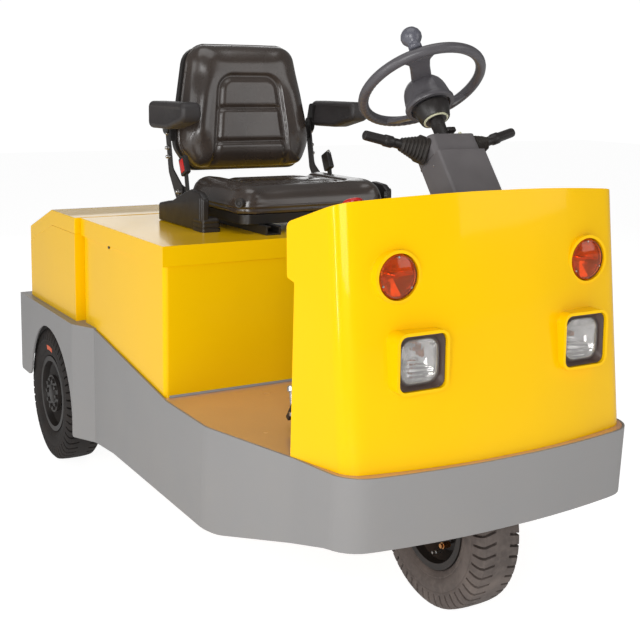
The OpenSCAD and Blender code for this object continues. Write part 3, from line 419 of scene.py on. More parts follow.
def rounded(rows, steps=5):
    # closed outline through rows of x, y and corner radius
    outline = []
    for index, (x, y, radius) in enumerate(rows):
        corner = Vector((x, y))
        if not radius:
            outline.append(corner)
            continue
        before = (Vector(rows[index - 1][:2]) - corner).normalized()
        after = (Vector(rows[(index + 1) % len(rows)][:2]) - corner).normalized()
        half = before.angle(after) / 2
        centre = corner + (before + after).normalized() * radius / math.sin(half)
        start = corner + before * radius / math.tan(half) - centre
        sweep = -math.copysign(math.pi - 2 * half, before.cross(after))
        outline += [centre + Matrix.Rotation(sweep * i / steps, 2) @ start for i in range(steps + 1)]
    return outline


def symmetric(rows):
    # rows of an outline's right half, followed by their mirror images
    return [*rows, *((-x, y, radius) for x, y, radius in reversed(rows))]


def oblong(halfX, halfY, radius, steps=5):
    return rounded([(halfX, halfY, radius), (-halfX, halfY, radius), (-halfX, -halfY, radius),
                    (halfX, -halfY, radius)], steps)


def squircle(half, radius, steps=5):
    return oblong(half, half, radius, steps)


def softly(value, low, high):
    # 0 below low, 1 above high, and a smooth rise between them
    share = min(1.0, max(0.0, (value - low) / (high - low)))
    return share * share * (3 - 2 * share)


def groove(distance, width):
    return math.exp(-(distance / width) ** 2)


def markSharp(bm, degrees=35):
    limit = math.radians(degrees)
    for edge in bm.edges:
        edge.smooth = len(edge.link_faces) != 2 or edge.calc_face_angle() < limit
    return bm


def roundEdges(bm, edges, width, segments):
    bmesh.ops.bevel(bm, geom=edges, offset=width, offset_type="OFFSET", segments=segments, profile=0.5,
                    affect="EDGES", material=-1)
    return bm


def roundAll(bm, width, segments=3, degrees=30):
    # rounds every edge that is sharper than the angle
    limit = math.radians(degrees)
    sharp = [e for e in bm.edges if len(e.link_faces) == 2 and e.calc_face_angle() > limit]
    return roundEdges(bm, sharp, width, segments)


# Outlines drawn to the rear and up and pushed across, or drawn across and up and pushed towards the nose
sideView = Matrix(((0, 0, 1, 0), (1, 0, 0, 0), (0, 1, 0, 0), (0, 0, 0, 1)))
noseView = turn(90, "X")


def finishPiece(bm, name, body, finish, replaced=()):
    # links a bmesh as a piece that rides on a body
    mesh = bpy.data.meshes.new(name)
    for face in bm.faces:
        face.smooth = True
    bm.to_mesh(mesh)
    bm.free()
    if "custom_normal" in mesh.attributes:
        mesh.attributes.remove(mesh.attributes["custom_normal"])
    mesh.materials.clear()
    mesh.materials.append(finish)
    piece = bpy.data.objects.new(name, mesh)
    scene.collection.objects.link(piece)
    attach(piece, body)
    if replaced:
        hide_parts(*replaced)
    return piece


def softenEdges(piece, width, segments=2, angle=30):
    # rounds a piece's sharp edges and evens its shading
    if width:
        mod = piece.modifiers.new("softEdges", "BEVEL")
        mod.width, mod.segments = width, segments
        mod.limit_method, mod.angle_limit = "ANGLE", math.radians(angle)
        mod.miter_outer = "MITER_ARC"
    mod = piece.modifiers.new("evenShading", "WEIGHTED_NORMAL")
    mod.keep_sharp = True
    return piece


def mergedCopy(node, weld=2e-5):
    # a CAD node's mesh, merged and with its flat faces joined, as a bmesh
    bm = bmesh.new()
    bm.from_mesh(nodes[node].data)
    bmesh.ops.remove_doubles(bm, verts=bm.verts, dist=weld)
    bmesh.ops.dissolve_limit(bm, angle_limit=math.radians(0.5), verts=bm.verts, edges=bm.edges)
    return bm


def rollBends(bm, width, low, high):
    # rounds the long upright bends of a folded panel, between two angles in degrees
    bends = [e for e in bm.edges if len(e.link_faces) == 2 and e.calc_length() > 0.12
             and abs(e.verts[0].co.z - e.verts[1].co.z) > 0.9 * e.calc_length()
             and math.radians(low) < e.calc_face_angle() < math.radians(high)]
    roundEdges(bm, bends, width, 5)


# Sheet-metal and other panels: finish, slot, rounding of the edges in mm, segments
panelRows = {
    "cowl": (paint["yellow"], "body_yellow", 2.2, 3),
    "battery_box": (paint["yellow"], "body_yellow", 2.5, 3),
    "battery_lid": (paint["yellow"], "body_yellow", 2.2, 3),
    "rear_hood": (paint["yellow"], "body_yellow", 2.2, 2),
    "hood_cover": (paint["yellow"], "body_yellow", 2.2, 3),
    "skirt": (paint["grey"], "skirt_grey", 1.8, 3),
    "fenders": (paint["grey"], "skirt_grey", 1.8, 3),
    "rear_plate": (paint["grey"], "skirt_grey", 1.5, 2),
    "head_cover": (paint["grey"], "skirt_grey", 1.2, 2),
    "deck": (paint["deck"], "deck_grey", 0.8, 1),
    "cowl_back": (paint["panel"], "panel_grey", 1.5, 2),
    "dash_panel": (paint["panel"], "panel_grey", 1.5, 2),
    "console": (plastic["console"], "console_grey", 2.2, 3),
    "chassis_frame": (paint["frame"], "frame_black", 1.5, 2),
    "steering_head": (paint["frame"], "frame_black", 1.5, 2),
    "steering_fork": (paint["frame"], "frame_black", 2.0, 2),
    "rear_axle": (paint["frame"], "frame_black", 3.0, 2),
    "tow_jaw": (paint["frame"], "frame_black", 2.0, 2),
    "tow_pin": (metal["zinc"], "bright_steel", 1.5, 2),
    "tail_lamps": (lens["tail"], "lens_red", 4.0, 3),
    "battery": (plastic["battery"], "battery_case", 3.0, 2),
    "accelerator_pedal": (paint["seatSteel"], "black_paint", 1.5, 2),
    "brake_pedal": (paint["seatSteel"], "black_paint", 1.5, 2),
    "seat_rails": (paint["seatSteel"], "black_paint", 0.8, 2),
    "seat_pan": (paint["seatSteel"], "black_paint", 1.5, 2),
    "backrest_shell": (plastic["black"], "black_plastic", 1.5, 2),
    "front_rim": (paint["rim"], "rim_black", 1.2, 2),
    "rear_rim_right": (paint["rim"], "rim_black", 1.2, 2),
    "rear_rim_left": (paint["rim"], "rim_black", 1.2, 2),
    "steering_column": (plastic["black"], "black_paint", 1.0, 2),
}


# Long upright bends: radius, and the least and largest angle of the corner
bendRows = {"fenders": (0.011, 12, 40), "battery_box": (0.013, 80, 100)}


def dressPanels(rows):
    for node, (finish, slot, rounding, segments) in rows.items():
        bm = mergedCopy(node)
        if node in bendRows:
            rollBends(bm, *bendRows[node])
        piece = finishPiece(bm, node + ".formed", nodes[node]["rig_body"], finish, [node])
        softenEdges(piece, rounding / 1000, segments)


dressPanels(panelRows)
print("tractor: panels formed")


# Tyres: industrial 4.00-8, with staggered lugs on both shoulders
tyreForm = {
    "crown": 0.2075, "pitches": 50, "lugEdge": 0.018, "lugFoot": 0.176, "twist": 0.02,
    "grooveDraft": 0.0012, "grooveDeep": 0.009,
    # half section as distance from the middle plane and radius
    "half": ((0.010, 0.2075), (0.018, 0.2073), (0.027, 0.2068), (0.036, 0.2060), (0.045, 0.2045),
             (0.0505, 0.1985), (0.0535, 0.190), (0.0548, 0.181), (0.0556, 0.172), (0.0559, 0.1665),
             (0.0553, 0.1655), (0.0560, 0.160), (0.0553, 0.148), (0.0530, 0.136), (0.0520, 0.1346),
             (0.0524, 0.1330), (0.0495, 0.127), (0.0465, 0.1215), (0.0430, 0.1188), (0.0408, 0.1186),
             (0.0398, 0.1100)),
}


def treadedTyre(form):
    steps = form["pitches"] * 4
    half = form["half"]
    ring = [(r, -x) for x, r in reversed(half)] + [(form["crown"], 0)] + [(r, x) for x, r in half]
    bm = turned(ring, steps, closed=True)
    cuts = []
    for face in bm.faces:
        spot = face.calc_center_median()
        around = int((math.atan2(spot.y, spot.x) % math.tau) / math.tau * steps)
        if abs(spot.z) > form["lugEdge"] and spot.xy.length > form["lugFoot"]:
            if around % 4 == (0 if spot.z < 0 else 2):
                cuts.append(face)
    for vert in bm.verts:
        lean = form["twist"] * max(0, abs(vert.co.z) - form["lugEdge"]) / form["lugEdge"]
        if vert.co.xy.length > form["lugFoot"] - 0.012:
            vert.co = Matrix.Rotation(lean, 3, "Z") @ vert.co
    bmesh.ops.inset_region(bm, faces=cuts, thickness=form["grooveDraft"], depth=-form["grooveDeep"],
                           use_even_offset=True, use_boundary=True)
    return markSharp(bm)


def fitTyres():
    for node in ("front_tyre", "rear_tyre_right", "rear_tyre_left"):
        low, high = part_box(node)
        centre = (low + high) / 2
        bm = moved(treadedTyre(tyreForm), Matrix.Translation(centre), turn(90, "Y"))
        # the front tyre gets the rubber with painted light: lighter for the front light the skirt keeps off
        # it, besides its dust
        finish = rubber["dustAndPaintedLight" if node == "front_tyre" else "tyre"]
        finishPiece(bm, node + ".treaded", nodes[node]["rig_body"], finish, [node])


fitTyres()
print("tractor: tyres treaded")


# Hubs: ring of bolts and a domed cap on the rear flanges, stud and valve on the front disc
hub = {"bolts": 10, "boltRing": 0.045, "boltSize": 0.0072, "boltHigh": 0.006, "cap": 0.027, "capHigh": 0.006,
       "flangeFace": 0.047}


def bolt(size, high, washer=1.25):
    head = turned([(0, 0.0012), (size * washer, 0.0012), (size * washer, 0), (0, 0)], 24)
    sides = [(size * math.cos(i * math.pi / 3), size * math.sin(i * math.pi / 3)) for i in range(6)]
    return gathered(head, roundAll(pushed(sides, 0.0012, high), size * 0.10, 2))


def fitHubs():
    for side, node in ((-1, "rear_rim_right"), (1, "rear_rim_left")):
        centre = sum(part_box(node.replace("rim", "tyre")), Vector()) / 2
        face = Matrix.Translation(centre + Vector((side * hub["flangeFace"], 0, 0))) @ turn(90 * side, "Y")
        parts = []
        for i in range(hub["bolts"]):
            angle = math.tau * (i + 0.5) / hub["bolts"]
            spot = shift(hub["boltRing"] * math.cos(angle), hub["boltRing"] * math.sin(angle), 0)
            parts.append(moved(bolt(hub["boltSize"], hub["boltHigh"]), face, spot, turn(17 * i, "Z")))
        cap, high = hub["cap"], hub["capHigh"]
        section = [(0, high), (cap * 0.6, high * 0.93), (cap * 0.9, high * 0.6), (cap, 0.001),
                   (cap, 0), (0, 0)]
        parts.append(moved(turned(section, 48), face))
        finishPiece(markSharp(gathered(*parts)), node + ".bolts", nodes[node]["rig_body"], paint["rim"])


fitHubs()

frontStuds = {"copperStud": ((-0.035, -0.803, 0.155), 0.0075, 0.012, metal["copper"]),
              "valve": ((-0.035, -0.784, 0.134), 0.004, 0.020, metal["zinc"])}


def fitFrontStuds():
    for name, (spot, radius, reach, finish) in frontStuds.items():
        section = [(0, reach), (radius * 0.7, reach), (radius * 0.72, reach * 0.6), (radius, reach * 0.55),
                   (radius, -0.012), (0, -0.012)]
        bm = moved(turned(section, 24), Matrix.Translation(spot), turn(-90, "Y"))
        finishPiece(markSharp(bm), "front_rim." + name, "front_wheel", finish)


fitFrontStuds()
print("tractor: hubs bolted")


# Headlamps: deep frame, domed fluted lens, silver dish and bulb
headlamp = {"half": 0.057, "corner": 0.016, "deep": 0.040, "lensHalf": 0.0478, "lensCorner": 0.027,
            "lensBack": 0.0125, "bulb": (-0.014, 0.010, -0.0290), "dishHalf": 0.0430, "dishCorner": 0.0245,
            "dishDeep": 0.0235, "dishRings": 26, "uprightRib": (0.0007, 0.0085), "crossRib": (0.0012, 0.0075),
            "bulbRows": ((0, 0.008), (0.0035, 0.0072), (0.0055, 0.0045), (0.0060, 0), (0.0055, -0.006),
                         (0.0050, -0.009), (0, -0.009))}


def flatRing(outline, depth):
    return [(x, y, depth) for x, y in outline]


def lampFrame(lamp):
    # rings of half width, corner and depth, along the outside and back through the opening
    half, corner, deep = lamp["half"], lamp["corner"], -lamp["deep"]
    opening, bend = lamp["lensHalf"], lamp["lensCorner"]
    seat = -lamp["lensBack"] + 0.001
    rows = ((half - 0.0005, corner, deep), (half - 0.0005, corner, -0.0015), (half - 0.0012, corner, 0),
            (half - 0.0030, corner, 0), (half - 0.0038, corner, -0.0012), (opening + 0.0022, bend, seat),
            (opening - 0.0040, bend - 0.002, seat - 0.0005), (opening - 0.0045, bend - 0.002, deep))
    return lofted([flatRing(squircle(size, radius), depth) for size, radius, depth in rows], closed=True)


def lampLens(lamp):
    # domed front over a flat back, rounded at its rim
    back = -lamp["lensBack"]
    rows = ((0.22, back), (1.0, back), (1.0, -0.0098), (0.975, -0.0080), (0.90, -0.0062), (0.72, -0.0044),
            (0.48, -0.0030), (0.22, -0.0022))
    return lofted([flatRing(squircle(lamp["lensHalf"] * size, lamp["lensCorner"] * size, 7), depth)
                   for size, depth in rows])


def lampDish(lamp):
    # bowl with upright ribs above and cross ribs below its middle
    front, back = [], []
    for step in range(lamp["dishRings"]):
        size = 1 - step / lamp["dishRings"]
        depth = lamp["dishDeep"] * (1 - size ** 2.2)
        ring, rear = [], []
        for x, y in squircle(lamp["dishHalf"] * size, lamp["dishCorner"] * size, 14):
            high, pitch = lamp["uprightRib"] if y > 0.002 else lamp["crossRib"]
            rib = high * math.sin(math.tau * (x if y > 0.002 else y) / pitch) * softly(1 - size, 0.02, 0.12)
            ring.append((x, y, -lamp["lensBack"] - 0.0012 - depth + rib))
            rear.append((x * 1.004, y * 1.004, -lamp["lensBack"] - 0.0042 - depth))
        front.append(ring)
        back.append(rear)
    return lofted(front + back[::-1], closed=True)


def fitHeadlamps(lamp):
    low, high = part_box("headlamps")
    middle = Vector((high.x - lamp["half"], low.y, (low.z + high.z) / 2))
    rows = (("frame", lampFrame(lamp), plastic["lampFrame"], "lamp_frame", "headlamps", None),
            ("dish", lampDish(lamp), metal["mirror"], "bright_steel", None, None),
            ("bulb", turned(lamp["bulbRows"], 24), lens["bulb"], "lens_amber", None, lamp["bulb"]),
            ("lens", lampLens(lamp), lens["clear"], "lens_clear", "headlamp_lenses", None))
    for part, bm, finish, slot, replaced, offset in rows:
        if offset:
            moved(bm, shift(*offset))
        bothSides(moved(bm, Matrix.Translation(middle), noseView))
        finishPiece(markSharp(bm, 40), "headlamps." + part, "chassis", finish,
                    [replaced] if replaced else ())


fitHeadlamps(headlamp)


# Turn lamps: red-amber dome over a facetted dish, with three screws in its rim
turnLamp = {
    "rim": 0.048, "recess": 0.024, "facets": 10, "screws": (90, 217, 335), "screwSpot": (0.0400, 0, 0.0052),
    "barSpot": (0, 0, -0.0035), "barLean": 4,
    "lens": ((0, 0.0122), (0.012, 0.0119), (0.026, 0.0103), (0.036, 0.0078), (0.0415, 0.0058),
             (0.0425, 0.0064), (0.0440, 0.0064), (0.0448, 0.0050), (0.0470, 0.0028), (0.048, 0.0),
             (0.048, -0.022), (0.0455, -0.022), (0.0455, -0.001), (0.040, 0.0035), (0.026, 0.0078),
             (0.012, 0.0093), (0, 0.0096)),
    "dish": ((0.003, -0.019), (0.016, -0.0165), (0.044, -0.004), (0.0452, -0.004), (0.0452, -0.021),
             (0.003, -0.021)),
    "screwHead": ((0, 0.0016), (0.0010, 0.0017), (0.0022, 0.0013), (0.0027, 0.0004), (0.0027, -0.001),
                  (0, -0.001)),
    "bar": ((0, 0.040), (0.0012, 0.040), (0.0012, -0.040), (0, -0.040)),
    "bulb": ((0, -0.004), (0.004, -0.0055), (0.006, -0.009), (0.006, -0.019), (0, -0.019)),
}


def turnDish(lamp):
    # shallow cone of flat facets that scatters the light in sectors
    return markSharp(turned(lamp["dish"], lamp["facets"], closed=True), 5)


def fitTurnLamps(lamp):
    low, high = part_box("turn_lamps")
    place = (shift(high.x - lamp["rim"], high.y - lamp["recess"], (low.z + high.z) / 2), noseView)
    screws = [moved(turned(lamp["screwHead"], 20), turn(degrees, "Z"), shift(*lamp["screwSpot"]),
                    turn(9, "Y")) for degrees in lamp["screws"]]
    bar = moved(turned(lamp["bar"], 12), shift(*lamp["barSpot"]), turn(90, "Y"), turn(lamp["barLean"], "X"))
    bulb = turned(lamp["bulb"], 24)
    rows = (("lens", turned(lamp["lens"], 96), lens["amber"], "lens_amber", ["turn_lamps"]),
            ("dish", turnDish(lamp), metal["mirror"], "bright_steel", ()),
            ("bulb", gathered(bar, bulb), metal["brass"], "bright_steel", ()),
            ("screws", gathered(*screws), metal["zinc"], "bright_steel", ()))
    for part, bm, finish, slot, replaced in rows:
        if part != "dish":
            markSharp(bm, 40)
        finishPiece(bothSides(moved(bm, *place)), "turn_lamps." + part, "chassis", finish, replaced)


fitTurnLamps(turnLamp)
print("tractor: lamps fitted")


# Steering wheel and column, drawn at the wheel's middle with z along the column
columnFrame = Matrix.Translation((0, -0.626, 1.186)) @ turn(-37, "X")
wheel = {
    "radius": 0.142, "grip": 0.012, "steps": 240, "sides": 20, "wideTurn": 146, "fork": 141,
    "bump": 0.0004, "bumps": 66, "bumpFrom": 150, "bumpTo": 320, "bumpFade": 12,
    # spokes as half width, distance outwards and corner, and where the narrow ones start and how they rise
    "wideRows": ((0.0235, 0.030, 0), (0.0225, 0.088, 0.03), (0.0245, 0.116, 0.02), (0.0400, 0.1335, 0)),
    "root": (0, 0.046, -0.050), "rise": 0.046, "reach": 0.092,
    "hub": ((0.0, 0.0115), (0.018, 0.0112), (0.030, 0.0090), (0.0385, 0.0045), (0.0445, -0.003),
            (0.0485, -0.012), (0.0510, -0.022), (0.0530, -0.034), (0.0545, -0.044), (0.0565, -0.0475),
            (0.0580, -0.051), (0.0580, -0.0565), (0.0565, -0.0600), (0.0475, -0.0600), (0.0465, -0.0560),
            (0.0460, -0.050), (0.0, -0.050)),
    "lobe": 0.055, "lobeEdge": (27, 34),
    "stem": ((0, -0.049), (0.009, -0.049), (0.009, -0.134), (0, -0.134)),
    # bolts of the wide spoke as size, height, washer, distance outwards and upwards
    "wideBolts": ((0.0058, 0.0062, 1.25, 0.103, 0.0030), (0.0026, 0.0026, 1.1, 0.068, 0.0032)),
    "narrowBolts": (0.030, 0.062), "narrowBolt": (0.0024, 0.0028, 1.1), "boltAside": 0.004,
    "plate": (0.0165, 0.003), "plateSpot": (0, 0.0475, 0.0045), "plateLean": -22,
    "knob": ((0, 0.0680), (0.0085, 0.0665), (0.0160, 0.0620), (0.0215, 0.0548), (0.0240, 0.0462),
             (0.0228, 0.0380), (0.0185, 0.0310), (0.0150, 0.0270), (0.0142, 0.0235), (0.0150, 0.0200),
             (0.0150, 0.0125), (0, 0.0125)),
}


def wheelRim(form):
    # ring with finger bumps along the underside of its far side
    rings = []
    for step in range(form["steps"]):
        around = math.tau * step / form["steps"]
        fromWide = (math.degrees(around) - 90 - form["wideTurn"]) % 360
        share = softly(fromWide, form["bumpFrom"], form["bumpFrom"] + form["bumpFade"])
        share *= 1 - softly(fromWide, form["bumpTo"] - form["bumpFade"], form["bumpTo"])
        ring = []
        for side in range(form["sides"]):
            angle = math.tau * side / form["sides"]
            low = max(0, -math.sin(angle)) ** 0.5
            grip = form["grip"] - form["bump"] * share * low * (1 + math.cos(around * form["bumps"]))
            out = form["radius"] + grip * math.cos(angle)
            ring.append((out * math.cos(around), out * math.sin(around), grip * math.sin(angle)))
        rings.append(ring)
    return lofted(rings, closed=True)


def wideSpoke(form):
    # broad plate with its sides flared into the ring and a rounded top
    plate = roundAll(pushed(rounded(symmetric(form["wideRows"])), -0.0095, 0.0035), 0.0035, 3, 50)
    return moved(plate, turn(form["wideTurn"], "Z"))


def narrowSpokes(form):
    spokes = []
    reach = form["reach"]
    climb = math.degrees(math.atan2(form["rise"], reach))
    rows = ((0.0150, -0.004, 0), (0.0125, 0.035, 0.03), (0.0120, reach - 0.022, 0.02),
            (0.0200, reach + 0.012, 0))
    for side in (-1, 1):
        plate = roundAll(pushed(rounded(symmetric(rows)), -0.006, 0.005), 0.0028, 3, 50)
        spokes.append(moved(plate, turn(form["wideTurn"] + side * form["fork"], "Z"), shift(*form["root"]),
                            turn(climb, "X")))
    return gathered(*spokes)


def wheelHub(form):
    # bell with three raised lobes between shallow grooves, and a rolled lower lip
    bm = turned(form["hub"], 144)
    for vert in bm.verts:
        radius = vert.co.xy.length
        wall = radius > 0.0475 and -0.046 < vert.co.z < 0.011
        crown = 0.030 < radius < 0.0475 and vert.co.z > -0.004
        if wall or crown:
            around = math.degrees(math.atan2(vert.co.y, vert.co.x)) - 90 - form["wideTurn"]
            nearest = min(abs((around - lobe + 180) % 360 - 180) for lobe in (0, form["fork"], -form["fork"]))
            lobe = 1 - softly(nearest, *form["lobeEdge"])
            fade = softly(-vert.co.z, -0.008, 0.004) * (1 - softly(-vert.co.z, 0.030, 0.044))
            vert.co.xy *= 1 + form["lobe"] * lobe * fade
    return bm


def wheelTrim(form):
    # bolt and small screw on the wide spoke, two screws on each narrow one
    parts = []
    for size, high, washer, out, up in form["wideBolts"]:
        parts.append(moved(bolt(size, high, washer), turn(form["wideTurn"], "Z"), shift(0, out, up)))
    for out in form["narrowBolts"]:
        for side in (-1, 1):
            spoke = turn(form["wideTurn"] + side * form["fork"], "Z")
            parts.append(moved(bolt(*form["narrowBolt"]), spoke, shift(*form["root"]), turn(26, "X"),
                               shift(-form["boltAside"] * side, out, 0.0048)))
    return gathered(*parts)


def fitSteeringWheel(form):
    body = gathered(wheelRim(form), wideSpoke(form), narrowSpokes(form), wheelHub(form),
                    turned(form["stem"], 32))
    finishPiece(markSharp(moved(body, columnFrame), 42), "steering_wheel.moulded", "steering_wheel",
                plastic["wheel"], ["steering_wheel"])
    finishPiece(markSharp(moved(wheelTrim(form), columnFrame)), "steering_wheel.screws", "steering_wheel",
                metal["zinc"])
    plate = roundAll(pushed(squircle(*form["plate"]), 0, 0.0022), 0.0006, 2)
    moved(plate, columnFrame, turn(form["wideTurn"], "Z"), shift(*form["plateSpot"]),
          turn(form["plateLean"], "X"), Matrix.Diagonal((1.15, 0.62, 1, 1)))
    finishPiece(markSharp(plate), "steering_wheel.plate", "steering_wheel", plastic["label"])
    knob = turned(form["knob"], 64)
    moved(knob, columnFrame, turn(form["wideTurn"], "Z"), shift(0, form["radius"], 0))
    finishPiece(knob, "spinner_knob.moulded", "steering_wheel", plastic["knob"],
                ["spinner_knob"])


fitSteeringWheel(wheel)


# Column: cone collar with a cream ring at its foot, shaft, clip and screw
column = {
    "collar": ((0.0, -0.0615), (0.0425, -0.0615), (0.0430, -0.0630), (0.0345, -0.0925), (0.0335, -0.0945),
               (0.0295, -0.0945), (0.0285, -0.0925), (0.0, -0.0925)),
    "shaft": ((0.0, -0.09), (0.0165, -0.09), (0.0165, -0.1130), (0.0150, -0.1145), (0.0160, -0.1160),
              (0.0160, -0.300), (0, -0.300)),
    "tube": ((0, -0.299), (0.016, -0.299), (0.016, -0.430), (0, -0.430)),
    "lug": (0.012, 0.009, 0.004), "lugSpan": (-0.136, -0.126), "lugSpot": (0.018, -0.010, 0),
    "ring": ((0.0290, -0.0930), (0.0290, -0.0960), (0.0275, -0.0968), (0.0240, -0.0968), (0.0235, -0.0930)),
    "screw": ((0, 0.006), (0.0035, 0.0055), (0.0042, 0.003), (0.0042, -0.012), (0, -0.012)),
    "screwSpot": (0.033, -0.020, -0.149), "clip": (0.0055, 0.0085), "clipSpot": (-0.026, -0.018, -0.150),
}


def ellipse(halfX, halfY, steps=20):
    return [(halfX * math.cos(math.tau * i / steps), halfY * math.sin(math.tau * i / steps))
            for i in range(steps)]


def fitColumn(form):
    lug = roundAll(pushed(oblong(*form["lug"]), *form["lugSpan"]), 0.0015, 2)
    shell = gathered(turned(form["collar"], 96), turned(form["shaft"], 64), turned(form["tube"], 48),
                     moved(lug, shift(*form["lugSpot"])))
    ring = turned(form["ring"], 64, closed=True)
    screw = moved(turned(form["screw"], 20), shift(*form["screwSpot"]))
    clip = moved(flatLoop(ellipse(*form["clip"]), 0.72, 0.002), shift(*form["clipSpot"]), turn(80, "X"),
                 turn(25, "Y"))
    rows = (("turned", shell, plastic["black"], "black_paint", ["steering_column"]),
            ("ring", ring, plastic["cream"], "bright_steel", ()),
            ("screw", screw, plastic["cream"], "bright_steel", ()),
            ("clip", clip, metal["zinc"], "bright_steel", ()))
    for part, bm, finish, slot, replaced in rows:
        markSharp(moved(bm, columnFrame))
        finishPiece(bm, "steering_column." + part, "chassis", finish, replaced)


fitColumn(column)


# Levers and their bellows, mirrored
lever = {"root": (-0.064, 0.0085, -0.169), "tip": (-0.206, 0.001, -0.131), "boot": 0.030, "ribs": 7,
         "pitch": 0.008, "taper": 0.0024,
         # one rib as share of the pitch and how far it draws in
         "rib": ((0.0, -0.0042), (0.22, -0.0008), (0.38, 0.0), (0.54, -0.0008), (0.80, -0.0042)),
         "base": (0.031, 0.010), "baseSpan": (-0.0005, 0.003)}


def leverFrame(form):
    root = Vector(form["root"])
    along = (Vector(form["tip"]) - root).normalized()
    return columnFrame @ Matrix.Translation(root) @ along.to_track_quat("Z", "Y").to_matrix().to_4x4()


def bellows(form):
    # ribs of a rounded-square section that narrow towards the lever
    rings = []
    for rib in range(form["ribs"]):
        size = form["boot"] - rib * form["taper"]
        for share, offset in form["rib"]:
            rings.append(flatRing(squircle(size + offset, (size + offset) * 0.62, 8),
                                  (rib + share) * form["pitch"]))
    last = form["boot"] - form["ribs"] * form["taper"]
    rings.append(flatRing(squircle(last - 0.001, (last - 0.001) * 0.98, 8), form["ribs"] * form["pitch"]))
    return moved(lofted(rings), turn(45, "Z"))


def fitLevers(form):
    place = leverFrame(form)
    length = (Vector(form["tip"]) - Vector(form["root"])).length
    foot = form["ribs"] * form["pitch"]
    grip = [(0, length), (0.0070, length), (0.0102, length - 0.0022), (0.0110, length - 0.006),
            (0.0114, foot + 0.044), (0.0122, foot + 0.041), (0.0134, foot + 0.039), (0.0134, foot + 0.022),
            (0.0120, foot + 0.019), (0.0108, foot + 0.017), (0.0112, foot + 0.0005), (0, foot + 0.0005)]
    boot = bellows(form)
    base = roundAll(pushed(squircle(*form["base"]), *form["baseSpan"]), 0.001, 2)
    boots = bothSides(moved(gathered(boot, moved(base, turn(45, "Z"))), place))
    finishPiece(boots, "lever_boots.ribbed", "chassis", rubber["boot"], ["lever_boots"])
    finishPiece(markSharp(bothSides(moved(turned(grip, 40), place)), 40), "control_levers.grips", "chassis",
                plastic["black"], ["control_levers"])


fitLevers(lever)


# Stop button: red mushroom on a grey collar
stopButton = {
    "lean": -20, "back": 0.004, "rise": 0.011,
    "head": ((0, 0.0245), (0.010, 0.0238), (0.0175, 0.0218), (0.0210, 0.0190), (0.0222, 0.0160),
             (0.0215, 0.0135), (0.0180, 0.0118), (0.0125, 0.0090), (0.0120, 0.0030), (0, 0.0030)),
    "collar": ((0, 0.0100), (0.0140, 0.0100), (0.0150, 0.0090), (0.0150, -0.0035), (0.0, -0.0035)),
}


def fitStopButton(form):
    low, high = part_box("stop_button")
    middle = (low + high) / 2
    place = shift(middle.x, middle.y + form["back"], low.z + form["rise"]) @ turn(form["lean"], "X")
    finishPiece(markSharp(moved(turned(form["head"], 64), place), 45), "stop_button.head", "chassis",
                plastic["red"], ["stop_button"])
    finishPiece(markSharp(moved(turned(form["collar"], 48), place)), "stop_button.collar", "chassis",
                plastic["collar"])


fitStopButton(stopButton)
print("tractor: controls fitted")


# Seat: padded cushion and backrest, swollen by a short cloth simulation and then sewn
def evaluatedMesh(piece):
    depsgraph = bpy.context.evaluated_depsgraph_get()
    return bpy.data.meshes.new_from_object(piece.evaluated_get(depsgraph))


def applyModifiers(piece):
    mesh = evaluatedMesh(piece)
    piece.modifiers.clear()
    old, piece.data = piece.data, mesh
    bpy.data.meshes.remove(old)


def swell(piece, form, held):
    # voxel remesh, pressure for twenty frames, and a cap on how far a point may move
    mod = piece.modifiers.new("voxels", "REMESH")
    mod.mode, mod.voxel_size, mod.use_smooth_shade = "VOXEL", form["voxel"], True
    applyModifiers(piece)
    rest = [vert.co.copy() for vert in piece.data.vertices]
    group = piece.vertex_groups.new(name="held")
    group.add([i for i, spot in enumerate(rest) if held(spot)], 1.0, "REPLACE")
    cloth = piece.modifiers.new("pressure", "CLOTH")
    cloth.settings.quality = 5
    cloth.settings.use_pressure = True
    cloth.settings.uniform_pressure_force = form["pressure"]
    cloth.settings.tension_stiffness = cloth.settings.compression_stiffness = form["stiffness"]
    cloth.settings.effector_weights.gravity = 0
    cloth.settings.vertex_group_mass = "held"
    cloth.point_cache.frame_start, cloth.point_cache.frame_end = 1, form["frames"]
    for number in range(1, form["frames"] + 1):
        scene.frame_set(number)
    applyModifiers(piece)
    scene.frame_set(1)
    for vert, spot in zip(piece.data.vertices, rest):
        way = vert.co - spot
        if way.length > form["cap"]:
            vert.co = spot + way.normalized() * form["cap"]
    bm = bmesh.new()
    bm.from_mesh(piece.data)
    free = [vert for vert, spot in zip(bm.verts, rest) if not held(spot)]
    for _ in range(form["even"]):
        bmesh.ops.smooth_vert(bm, verts=free, factor=0.5, use_axis_x=True, use_axis_y=True, use_axis_z=True)
    bm.to_mesh(piece.data)
    bm.free()
    piece.vertex_groups.clear()


def padPiece(bm, name, body, form, held, sew, place, node):
    # one padded piece: swollen in its own frame, subdivided, sewn and put in its place
    piece = finishPiece(bm, name, body, vinyl, [node])
    swell(piece, form, held)
    mod = piece.modifiers.new("finer", "SUBSURF")
    mod.levels = mod.render_levels = 1
    applyModifiers(piece)
    normals = [vert.normal.copy() for vert in piece.data.vertices]
    for vert, normal in zip(piece.data.vertices, normals):
        vert.co += normal * sew(vert.co, normal)
    piece.data.transform(place)
    for polygon in piece.data.polygons:
        polygon.use_smooth = True
    return piece


cushionForm = {"voxel": 0.0055, "pressure": 4.0, "stiffness": 16, "frames": 20, "cap": 0.007, "even": 16,
               "fill": 0.9, "half": 0.2330, "front": -0.1490, "rear": 0.2085, "low": 0.8445, "high": 0.913,
               "recess": 0.148, "recessFront": -0.088, "channels": (-0.012, 0.102)}


